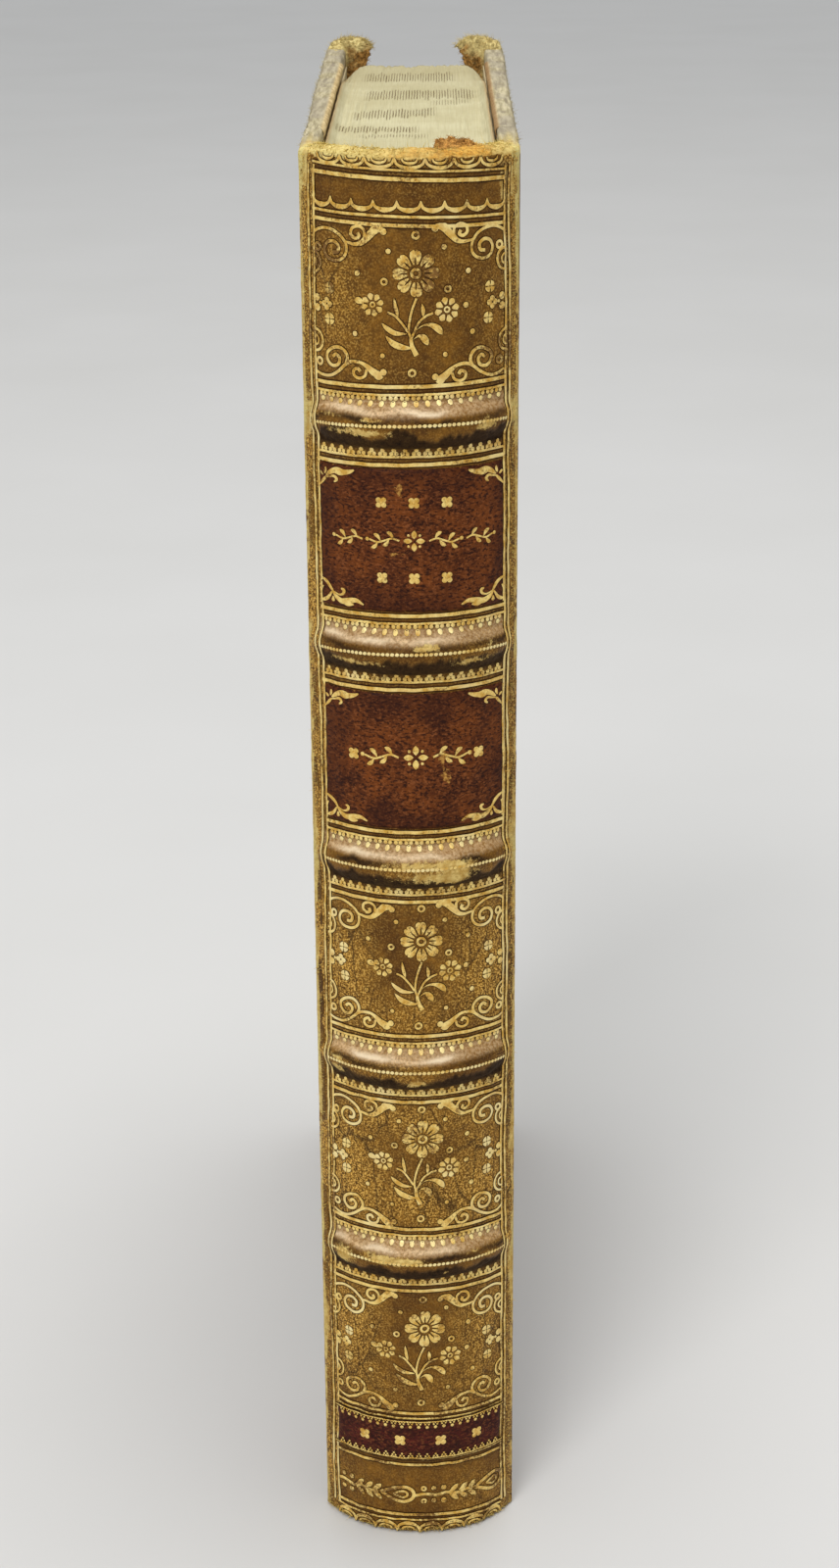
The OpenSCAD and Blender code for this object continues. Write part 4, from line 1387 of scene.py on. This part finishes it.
LEAF_EDGE = Waves(51, 0.9, count=24, stretch=(1, 60))
LEAF_SWELL = Waves(52, 7)

# Half of the leaves' thickness
LEAVES_HALF = 9.65

# Rows of brown marks on the head edge: depth from the joint, slant, length along the leaves, left end,
# right end, strength and seed
STAIN_ROWS = [
    (86, 0.0, 9.5, -7.0, 5.6, 0.85, 71), (66, 0.1, 10.0, -6.3, 8.2, 0.9, 72),
    (47.0, 0.4, 8.0, -7.4, 3.0, 0.95, 73), (55.0, 0.6, 5.5, 2.2, 7.4, 0.6, 74),
    (31.0, -0.1, 5.5, -9.2, 0.9, 0.9, 75), (25.4, 0.0, 3.0, -6.2, 2.2, 0.7, 76),
]


def head_stain(x, depth):
    """Strength of the brown marks at places across the head edge and in from the joint."""
    stain = np.zeros(len(x))
    for middle, slant, length, left, right, strength, seed in STAIN_ROWS:
        centre = middle + slant * x + 0.05 * length * Waves(seed, 1.6)(x, 0)
        half = length * (0.48 + 0.06 * Waves(seed + 9, 1.1)(x, 3))
        row = step(half - np.abs(depth - centre), -0.4, 0.6) * strength
        row = row * step(x, left - 0.6, left + 1) * step(-x, -right - 0.6, -right + 1)
        stain = np.maximum(stain, row)
    return stain


def text_block():
    """The leaves: a lattice across the leaves, along their depth and up their height."""
    low, high = BLOCK_LOW[2], BLOCK_HIGH[2]
    heights = cuts(low, high, 4.0, 0.5, 2.0)
    points, faces = lattice_box(np.linspace(-1, 1, 110), np.linspace(0, 1, 120), heights)
    across, depth, z = points.T
    outward = np.abs(across)
    on_head, on_tail, on_fore = z > high - 0.01, z < low + 0.01, depth > 0.999
    back_radius = RADIUS - LEATHER - 0.3
    back = AXIS_Y - np.sqrt(back_radius ** 2 - (across * BLOCK_HIGH[0]) ** 2)
    fore_middle = BLOCK_HIGH[1] + math.sqrt(back_radius ** 2 - LEAVES_HALF ** 2)
    hollow = fore_middle - np.sqrt(back_radius ** 2 - (across * LEAVES_HALF) ** 2)
    corner = np.clip((outward - 0.7) / 0.3, 0, 1)
    worn_round = np.clip(outward / 0.75, 0, 1) ** 2 - 14.0 * (1 - np.sqrt(1 - 0.99 * corner ** 2))
    worn_fore = fore_middle - back_radius + worn_round
    fore = hollow + (worn_fore - hollow) * step(z, high - 14, high)
    y = back + (fore - back) * depth
    shoulder = step(JOINT_Y - JOINT_GAP - y, 0.0, 1.6)
    x = across * (LEAVES_HALF + (BLOCK_HIGH[0] - LEAVES_HALF) * shoulder)
    from_joint = y - JOINT_Y
    top = step(z, high - 6, high)
    z = z + 0.9 * top * step(outward, 0.88, 1.0) * (1 - step(from_joint, 66, 90))
    z = z - 1.3 * top * corner ** 2 * step(from_joint, 74, 100)
    leaf_x = across * LEAVES_HALF
    fringe = np.abs(LEAF_EDGE(leaf_x, y * 0.5) * 0.07 + 0.05 * LEAF_SWELL(leaf_x, y))
    z = z - on_head * fringe * 1.2 + on_tail * fringe
    y = y - on_fore * np.abs(LEAF_EDGE(leaf_x, z * 0.5)) * 0.15
    edge = on_head * step(outward, 0.95, 1.0) * 0.6 + (~on_head & (outward > 0.999)) * 0.3
    layers = {
        "stain": head_stain(x, from_joint) * on_head,
        "edge": edge,
        "far": 0.36 * on_head * step(from_joint, 45, 102),
    }
    leaves = make_mesh("leaves", stack(x, y, z), faces, LEAVES, "leaves", layers)
    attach(leaves, ROOT)
    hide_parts("text_block")


def bend_with(piece, word):
    """Bakes a piece's transform into its mesh. The ends of the hinge line between the spine and a cover are
    worked out, but nothing makes the piece bend.
    """
    x, z = SIDES[word] * 0.0118, 0.088
    start, end = (x, (JOINT_Y - 0.8) * MM, z), (x, (JOINT_Y + 1.2) * MM, z)
    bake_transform(piece)
    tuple(start)
    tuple(end)


STRIP_ROWS = 150

# Fold of the joint's leather over the head: height over the head, and distance in from the face
HEAD_FOLD = np.array([(-0.5, 0.05), (-0.28, 0.16), (-0.12, 0.34), (-0.03, 0.62), (0.02, 1.1), (0.06, 1.75)])


def joint_layers(side, z, arcs, along):
    """Wear and colour of the leather over one joint, with a stripe of painted shade just outside the upright
    lines, strongest halfway up. arcs lie on the spine, along lies on the cover.
    """
    u = side * np.minimum(HALF_ARC, np.concatenate([arcs, HALF_ARC + along]))
    spine_bend = 0.7 * step(arcs, HALF_ARC - 0.42, HALF_ARC - 0.15)
    bend = np.concatenate([spine_bend, 0.45 - 0.2 * step(along, 0.6, 2.0)])
    at_edge = step(np.concatenate([arcs, HALF_ARC + 0.3 - along]), HALF_ARC - 0.6, HALF_ARC - 0.15)
    at_band = sum(np.exp(-((z - middle) / 2.2) ** 2) for middle in BAND_Z)
    folded = step(np.arange(len(z)), STRIP_ROWS - 7, STRIP_ROWS - 1)[:, None]
    wear = bend * (1 + 0.4 * SWELL(z * 2.0, side * 40)) + 0.8 * folded
    wear = wear + blobs(u, z, RUBBED) + 1.9 * bend * at_band
    rubbed_edge = at_edge * (0.8 * step(z, 160, 164) if side > 0 else 0.35 + 0.45 * step(z, 168, 173))
    wear = wear + rubbed_edge * (0.8 + 0.3 * DIMPLE(z * 0.9, side * 3))
    pale = 0.5 * step(z, HEIGHT - 4, HEIGHT - 1) + 0.6 * at_band + 0.9 * rubbed_edge
    # Painted shade: a stripe on the spine just outside the upright lines, strongest halfway up and weaker at
    # the bands.
    half_way_up = np.exp(-((z - 76) / 26) ** 2) * (1 - 0.8 * np.clip(at_band, 0, 1))
    stripe = step(-np.abs(u), 0.32 - HALF_ARC, 0.5 - HALF_ARC) * (0.25 + 0.75 * half_way_up)
    fade = (0.4 if side < 0 else 0.55) + 0.35 * step(z, 140, 165) - 0.4 * stripe
    zero = np.zeros(wear.shape)
    return {"wear": wear, "raw": zero, "dark": 0.5 * stripe, "polish_and_painted_sheen": zero, "fade": fade, "pale": pale}


def joint_strips():
    """The leather that bends at each joint, over the break between spine and cover and over the head."""
    z = np.concatenate([np.linspace(0.3, HEIGHT - 0.75, STRIP_ROWS), HEIGHT + HEAD_FOLD[:, 0]])
    inward = np.concatenate([np.zeros(STRIP_ROWS), HEAD_FOLD[:, 1]])
    on_top = step(inward, 0.0, 0.6)[:, None]
    arcs = np.linspace(HALF_ARC - 1.2, HALF_ARC, 9)
    along = np.linspace(0.15, 2.2, 9)
    for word, side in SIDES.items():
        columns = [spine_point(arc_length, z, 0.03 - inward) for arc_length in arcs]
        for length in along:
            sag = 0.04 - 0.04 * step(length, 1.2, 2.2)
            columns.append(stack(HALF_WIDTH + sag - inward, JOINT_Y + length, z))
        outer = np.stack(columns, 1)
        across = np.arange(len(columns)) * 0.8
        outer[..., 0] += np.abs(0.025 * DIMPLE(across, z[:, None])) - 0.05
        inner = outer.copy()
        inner[..., 0] -= 0.3 * (1 - on_top)
        inner[..., 2] -= 0.3 * on_top
        outer[..., 0] *= side
        inner[..., 0] *= side
        layers = joint_layers(side, z[:, None], arcs, along)
        if side < 0:
            outer, inner = outer[:, ::-1], inner[:, ::-1]
            layers = {key: value[:, ::-1] for key, value in layers.items()}
        strip = shell(f"{word}_joint_leather", outer, inner, CALF, "leather", layers)
        bend_with(strip, word)


def ragged_sheet(name, surface, rows, columns, thickness, raw, material, body):
    """Torn piece of leather: surface(s, t) gives its upper face, raw(s, t) how deep it is torn."""
    s, t = np.meshgrid(np.linspace(0, 1, columns), np.linspace(0, 1, rows))
    upper = surface(s, t)
    x, y = upper[..., 0], upper[..., 1]
    upper[..., 2] += 0.07 * PORE(x * 1.3, y * 1.3) + 0.05 * NICKS(x, y * 1.1)
    lower = upper.copy()
    lower[..., 2] -= thickness * (0.35 + 0.65 * step(np.minimum(1 - s, 1 - t), 0.0, 0.25))
    piece = shell(name, upper, lower, material, "leather", {"raw": raw(s, t)})
    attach(piece, body)


# Curled flaps at the head corners of the fore-edge: their size and the edges that they start from
FLAP = 6.2
FLAP_START = HALF_WIDTH + 0.35
FLAP_FAR = BOARD_HIGH[1] + 0.45

# How low a flap hangs inside the cover, along its way inwards. The last drop is each flap's own
CURTAIN_AT = (0.46, 0.6, 0.72, 0.86, 1.0)
CURTAIN_DROP = (5.0, 4.8, 4.2, 3.0)


def corner_flap(word, side, seed, draw):
    """Frayed leather at one head corner of the fore-edge, curled in over the leaves, with loose fibres. It is
    painted darker where it bends down inside the cover, as painted shade, and at its torn inner end.
    """
    edge_a, edge_b = Waves(81 + seed, 1.9), Waves(85 + seed, 0.8)
    # Last drop of the flap's tip, and how strong the painted shade is where the flap bends down inside the
    # cover.
    tip_drop, torn = (1.4, 0.75) if side > 0 else (1.8, 0.85)

    def surface(s, t):
        reach = FLAP - 0.9 * step(t, 0.4, 1.0) + 0.2 * edge_a(t * 6, 0) + 0.12 * edge_b(t * 6, 0)
        y = FLAP_FAR - (FLAP + 0.3 * edge_a(s * 5, 3)) * t
        arch = 1.15 * np.sin(math.pi * np.clip(s * 0.85 + 0.02, 0, 1)) ** 0.7
        arch = arch * (1 - 0.75 * step(t, 0.35, 1.0))
        inside = step(s, 0.34, 0.46)
        curtain = np.interp(s, CURTAIN_AT, (*CURTAIN_DROP, tip_drop))
        sunk = 0.5 * step(t, 0.45, 0.9) * (1 - inside)
        hang = curtain * inside * step(t, 0.45, 1.0) + sunk
        hang = hang + 0.5 * step(s, 0.8, 1.0) + 0.3 * step(-s, -0.06, 0)
        z = HEIGHT + 0.02 + arch - hang + 0.08 * edge_a(s * 4, t * 4)
        return stack(side * (FLAP_START - reach * s), y, z)

    # Painted shade: the deep, darker colour where the flap bends down inside the cover; the torn inner end
    # takes some of it too.
    def raw(s, t):
        return torn * step(t, 0.4, 0.8) * step(s, 0.3, 0.55) + 0.3 * step(s, 0.75, 1.0)

    cover = f"{word}_cover"
    ragged_sheet(f"{word}_corner_fray", surface, 32, 32, 0.7, raw, FRAYED, cover)
    count = 1500
    s, t = draw.uniform(0, 1, count), draw.uniform(0, 1, count)
    ways = stack(-side * (0.2 + s), -0.4, 0.5 - 0.9 * t)
    lengths = draw.uniform(0.2, 0.55, count)
    name = f"{word}_corner_fibres"
    fibres(name, surface(s, t), ways, lengths, 0.8 * raw(s, t), cover, 89 + seed, 0.04, FRAYED)


def corner_flaps():
    """Curled flaps of both covers."""
    draw = np.random.default_rng(88)
    for seed, (word, side) in enumerate(SIDES.items()):
        corner_flap(word, side, seed, draw)


def head_tear():
    """Torn turn-in that stands up behind the cap at the head."""
    edge_a, edge_b = Waves(91, 1.7), Waves(92, 0.7)

    def surface(s, t):
        u = 3.6 + 5.9 * s + 0.08 * edge_a(t * 2, 4)
        tall = 1 + 0.07 * edge_a(s * 6, 0) + 0.06 * edge_b(s * 6, 0)
        inward = 1.3 + 2.3 * t * tall
        ends = step(s, 0.0, 0.04) * (1 - 0.75 * step(s, 0.7, 1.0))
        rise = 0.3 + 0.75 * np.sin(math.pi * np.clip(t * 0.7 + 0.05, 0, 1)) * tall * ends
        point = spine_point(u, HEIGHT, -inward)
        point[..., 2] = HEIGHT + rise
        return point

    def raw(s, t):
        return 1.0 - 0.75 * step(s, 0.72, 1.0) - 0.3 * step(-t, -0.12, 0)

    ragged_sheet("head_tear", surface, 18, 40, 0.8, raw, TORN, ROOT)
    count = 360
    draw = np.random.default_rng(93)
    s, t = draw.uniform(0, 1, count), draw.uniform(0.1, 0.9, count)
    ways = stack(0.8 * draw.normal(size=count), -0.7, 0.4)
    lengths = draw.uniform(0.12, 0.35, count)
    fibres("head_tear_fibres", surface(s, t), ways, lengths, raw(s, t), ROOT, 94, 0.04, TORN)


def fibres(name, roots, ways, lengths, raw, body, seed, thickness=0.035, material=SUEDE):
    """Loose leather or paper fibres: thin tapering tubes that bend at random.

    body is the body they ride, or a side, for which their transform is only baked into the mesh.
    """
    draw = np.random.default_rng(seed)
    points, faces = [], []
    for root, way, length in zip(roots, ways, lengths):
        way = way / np.linalg.norm(way) + draw.normal(0, 0.45, 3)
        bend = draw.normal(0, 0.5, 3)
        helper = np.cross(way, (0.3, 0.5, 0.8))
        helper /= np.linalg.norm(helper)
        other = np.cross(way, helper)
        other /= np.linalg.norm(other)
        start = len(points)
        for f in (0, 1 / 3, 2 / 3, 1):
            middle = root + way * length * f + bend * length * f * f
            wide = thickness * (1 - 0.75 * f)
            for j in range(3):
                turn = 2 * math.pi * j / 3
                points.append(middle + wide * (helper * math.cos(turn) + other * math.sin(turn)))
        for k in range(3):
            for j in range(3):
                a, b = start + 3 * k + j, start + 3 * k + (j + 1) % 3
                faces.append((a, b, b + 3, a + 3))
        faces.append((start + 2, start + 1, start))
        faces.append((start + 9, start + 10, start + 11))
    depth = np.repeat(np.broadcast_to(raw, len(roots)), 12)
    points = np.array(points)
    points[:, 2] = np.maximum(points[:, 2], 0.02)
    piece = make_mesh(name, points, faces, material, "leather", {"raw": depth})
    if body in SIDES:
        bend_with(piece, body)
    else:
        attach(piece, body)


def frayed_edges():
    """Fibres along the cap, the tail, the joints and the head edges of the covers."""
    draw = np.random.default_rng(101)
    count = 1300
    u = draw.uniform(-HALF_ARC + 0.2, HALF_ARC - 0.2, count)
    inset = draw.uniform(0.1, 2.3, count)
    roots = spine_point(u, HEIGHT, -inset)
    roots[:, 2] = HEIGHT + np.interp(inset, *zip(*HEAD_EDGE))
    ways = stack(1.1 * draw.normal(size=count), -0.5 + 0.5 * inset, 0.3)
    raw = 0.3 * step(u, -6, 3) * step(-u, -10, -8)
    fibres("cap_fibres", roots, ways, draw.uniform(0.12, 0.36, count), raw, ROOT, 102)
    count = 360
    u = draw.uniform(-HALF_ARC, HALF_ARC, count)
    roots = spine_point(u, 0.35 + 0.5 * draw.uniform(0, 1, count), 0.0)
    fibres("tail_fibres", roots, stack(0.1 * u, -1, -0.1), draw.uniform(0.12, 0.4, count), 0.2, ROOT, 106)
    count = 700
    for seed, (word, side) in enumerate(SIDES.items()):
        z = HEIGHT - 0.5 - (HEIGHT - 1.5) * draw.uniform(0, 1, count) ** 1.35
        roots = spine_point(HALF_ARC - 0.5 - draw.uniform(0, 0.5, count), z, 0.0)
        roots[:, 0] *= side
        ways = stack(side, -0.25, 0.2 * draw.normal(size=count))
        fibres(f"{word}_joint_fibres", roots, ways, draw.uniform(0.12, 0.4, count), 0.1, word, 103 + seed)
        depth = draw.uniform(2, 104, count)
        out = swelling(word, depth) + HALF_WIDTH - 0.3
        across = side * np.where(draw.uniform(0, 1, count) < 0.6, out, draw.uniform(10.2, 12, count))
        roots = stack(across, JOINT_Y + depth, HEIGHT - 0.12 - 0.5 * draw.uniform(0, 1, count))
        ways = stack(side, 0.8 * draw.normal(size=count), 0.5)
        name, lengths = f"{word}_edge_fibres", draw.uniform(0.12, 0.36, count)
        fibres(name, roots, ways, lengths, 0.0, f"{word}_cover", 107 + seed, material=PAPER_FIBRE)


CAD_FINISH = {
    "spine_lining": LINING, "front_board": BOARD, "back_board": BOARD,
    "front_pastedown": PASTEDOWN, "back_pastedown": PASTEDOWN,
    "front_cord_slips": CORD, "back_cord_slips": CORD,
    **{f"sewing_cord_{index}": CORD for index in CORDS},
}


def finish_cad_nodes():
    """Gives the CAD solids that stay their materials."""
    for name, material in CAD_FINISH.items():
        mesh = frame["nodes"][name].data
        mesh.materials.clear()
        mesh.materials.append(material)


# Floor and light, in metres and watts: half the floor's width, and each lamp's place, size and power
FLOOR_REACH = 14.0
COOL_WHITE = (0.96, 0.98, 1.0, 1)
WORLD_STRENGTH = 0.42
LAMP_AIM = (0, 0, 0.1)
LAMPS = {
    "key": ((-0.5, -1.3, 1.7), 0.9, 21),
    "top": ((0.1, 0.1, 1.7), 1.0, 15),
}


def floor_paint():
    """Pale floor that is seen a little brighter far from the book, without lighting it."""
    paint = Paint("floor", roughness=0.7, specular=0.2)
    from_book = paint.node("VectorMath", out="Value", feed={0: paint.place}, operation="LENGTH")
    rays = paint.tree.nodes.new("ShaderNodeLightPath").outputs
    seen = paint.plus(rays["Is Camera Ray"], rays["Is Glossy Ray"])
    seen = paint.plus(seen, rays["Is Transmission Ray"])
    paint.feed(paint.shader.inputs["Emission Color"], COOL_WHITE)
    glow = paint.times(paint.span(from_book, 0.7, 3.0, 0.0, 0.17), seen)
    paint.feed(paint.shader.inputs["Emission Strength"], glow)
    return paint.finish(paint.mix(paint.noise(90, 3, 0.5), (206, 205, 202), (214, 213, 211)))


def studio():
    """Pale floor and soft light."""
    mesh = bpy.data.meshes.new("floor")
    corners = [(a * FLOOR_REACH, b * FLOOR_REACH, 0) for a, b in ((-1, -1), (1, -1), (1, 1), (-1, 1))]
    mesh.from_pydata(corners, [], [(0, 1, 2, 3)])
    mesh.materials.append(floor_paint())
    floor = bpy.data.objects.new("floor", mesh)
    bpy.context.scene.collection.objects.link(floor)
    world = bpy.data.worlds.new("studio")
    world.use_nodes = True
    background = world.node_tree.nodes["Background"]
    background.inputs["Color"].default_value = COOL_WHITE
    background.inputs["Strength"].default_value = WORLD_STRENGTH
    bpy.context.scene.world = world
    for name, (place, size, power) in LAMPS.items():
        lamp = bpy.data.lights.new(name, "AREA")
        lamp.shape = "DISK"
        lamp.size = size
        lamp.energy = power
        holder = bpy.data.objects.new(name, lamp)
        holder.location = place
        holder.rotation_euler = (Vector(LAMP_AIM) - Vector(place)).to_track_quat("-Z", "Y").to_euler()
        bpy.context.scene.collection.objects.link(holder)


# Camera fitted to the photograph: focal length in the photograph's pixels, place in millimetres from the
# joint line at the tail, and angles in degrees
FOCAL_PIXELS = 2808
PHOTO_HEIGHT_PIXELS = 1600
SENSOR = 36.0
CAMERA_FROM_JOINT = (2.9, -305.8, 217.2)
PITCH_DOWN, YAW, ROLL = 20.73, 0.42, -0.42


def camera():
    """The photograph's camera."""
    data = bpy.data.cameras.new("camera")
    data.sensor_width = SENSOR
    data.lens = FOCAL_PIXELS / PHOTO_HEIGHT_PIXELS * SENSOR
    data.clip_start = 0.01
    holder = bpy.data.objects.new("camera", data)
    x, y, z = CAMERA_FROM_JOINT
    holder.location = (x * MM, (JOINT_Y + y) * MM, z * MM)
    turns = [Euler([math.radians(angle) for angle in angles]).to_matrix()
             for angles in ((0, 0, YAW), (90 - PITCH_DOWN, 0, 0), (0, 0, ROLL))]
    holder.rotation_euler = (turns[0] @ turns[1] @ turns[2]).to_euler()
    bpy.context.scene.collection.objects.link(holder)
    bpy.context.scene.camera = holder


# Middle height of each flower panel from the head down, and the seed of its hand-made unevenness
PANELS = [
    ((BAND_Z[4] + LINE_FAR + HEAD_LINES[3]) / 2, 61),
    ((BAND_Z[1] + BAND_Z[2]) / 2, 62),
    ((BAND_Z[0] + BAND_Z[1]) / 2, 63),
    ((BAND_Z[0] - LINE_FAR + TAIL_LINES[0]) / 2, 64),
]


camera()
studio()
bpy.context.scene.view_settings.view_transform = "Standard"
finish_cad_nodes()
spine_skin()
for label in SCUFFS:
    label_skin(label)
for number, (middle, seed) in enumerate(PANELS, 1):
    flower_panel(f"gilt_panel_{number}", middle, seed)
bands_tooling()
head_tooling()
tail_tooling()
upright_lines()
label_tooling()
covers()
text_block()
joint_strips()
corner_flaps()
head_tear()
frayed_edges()
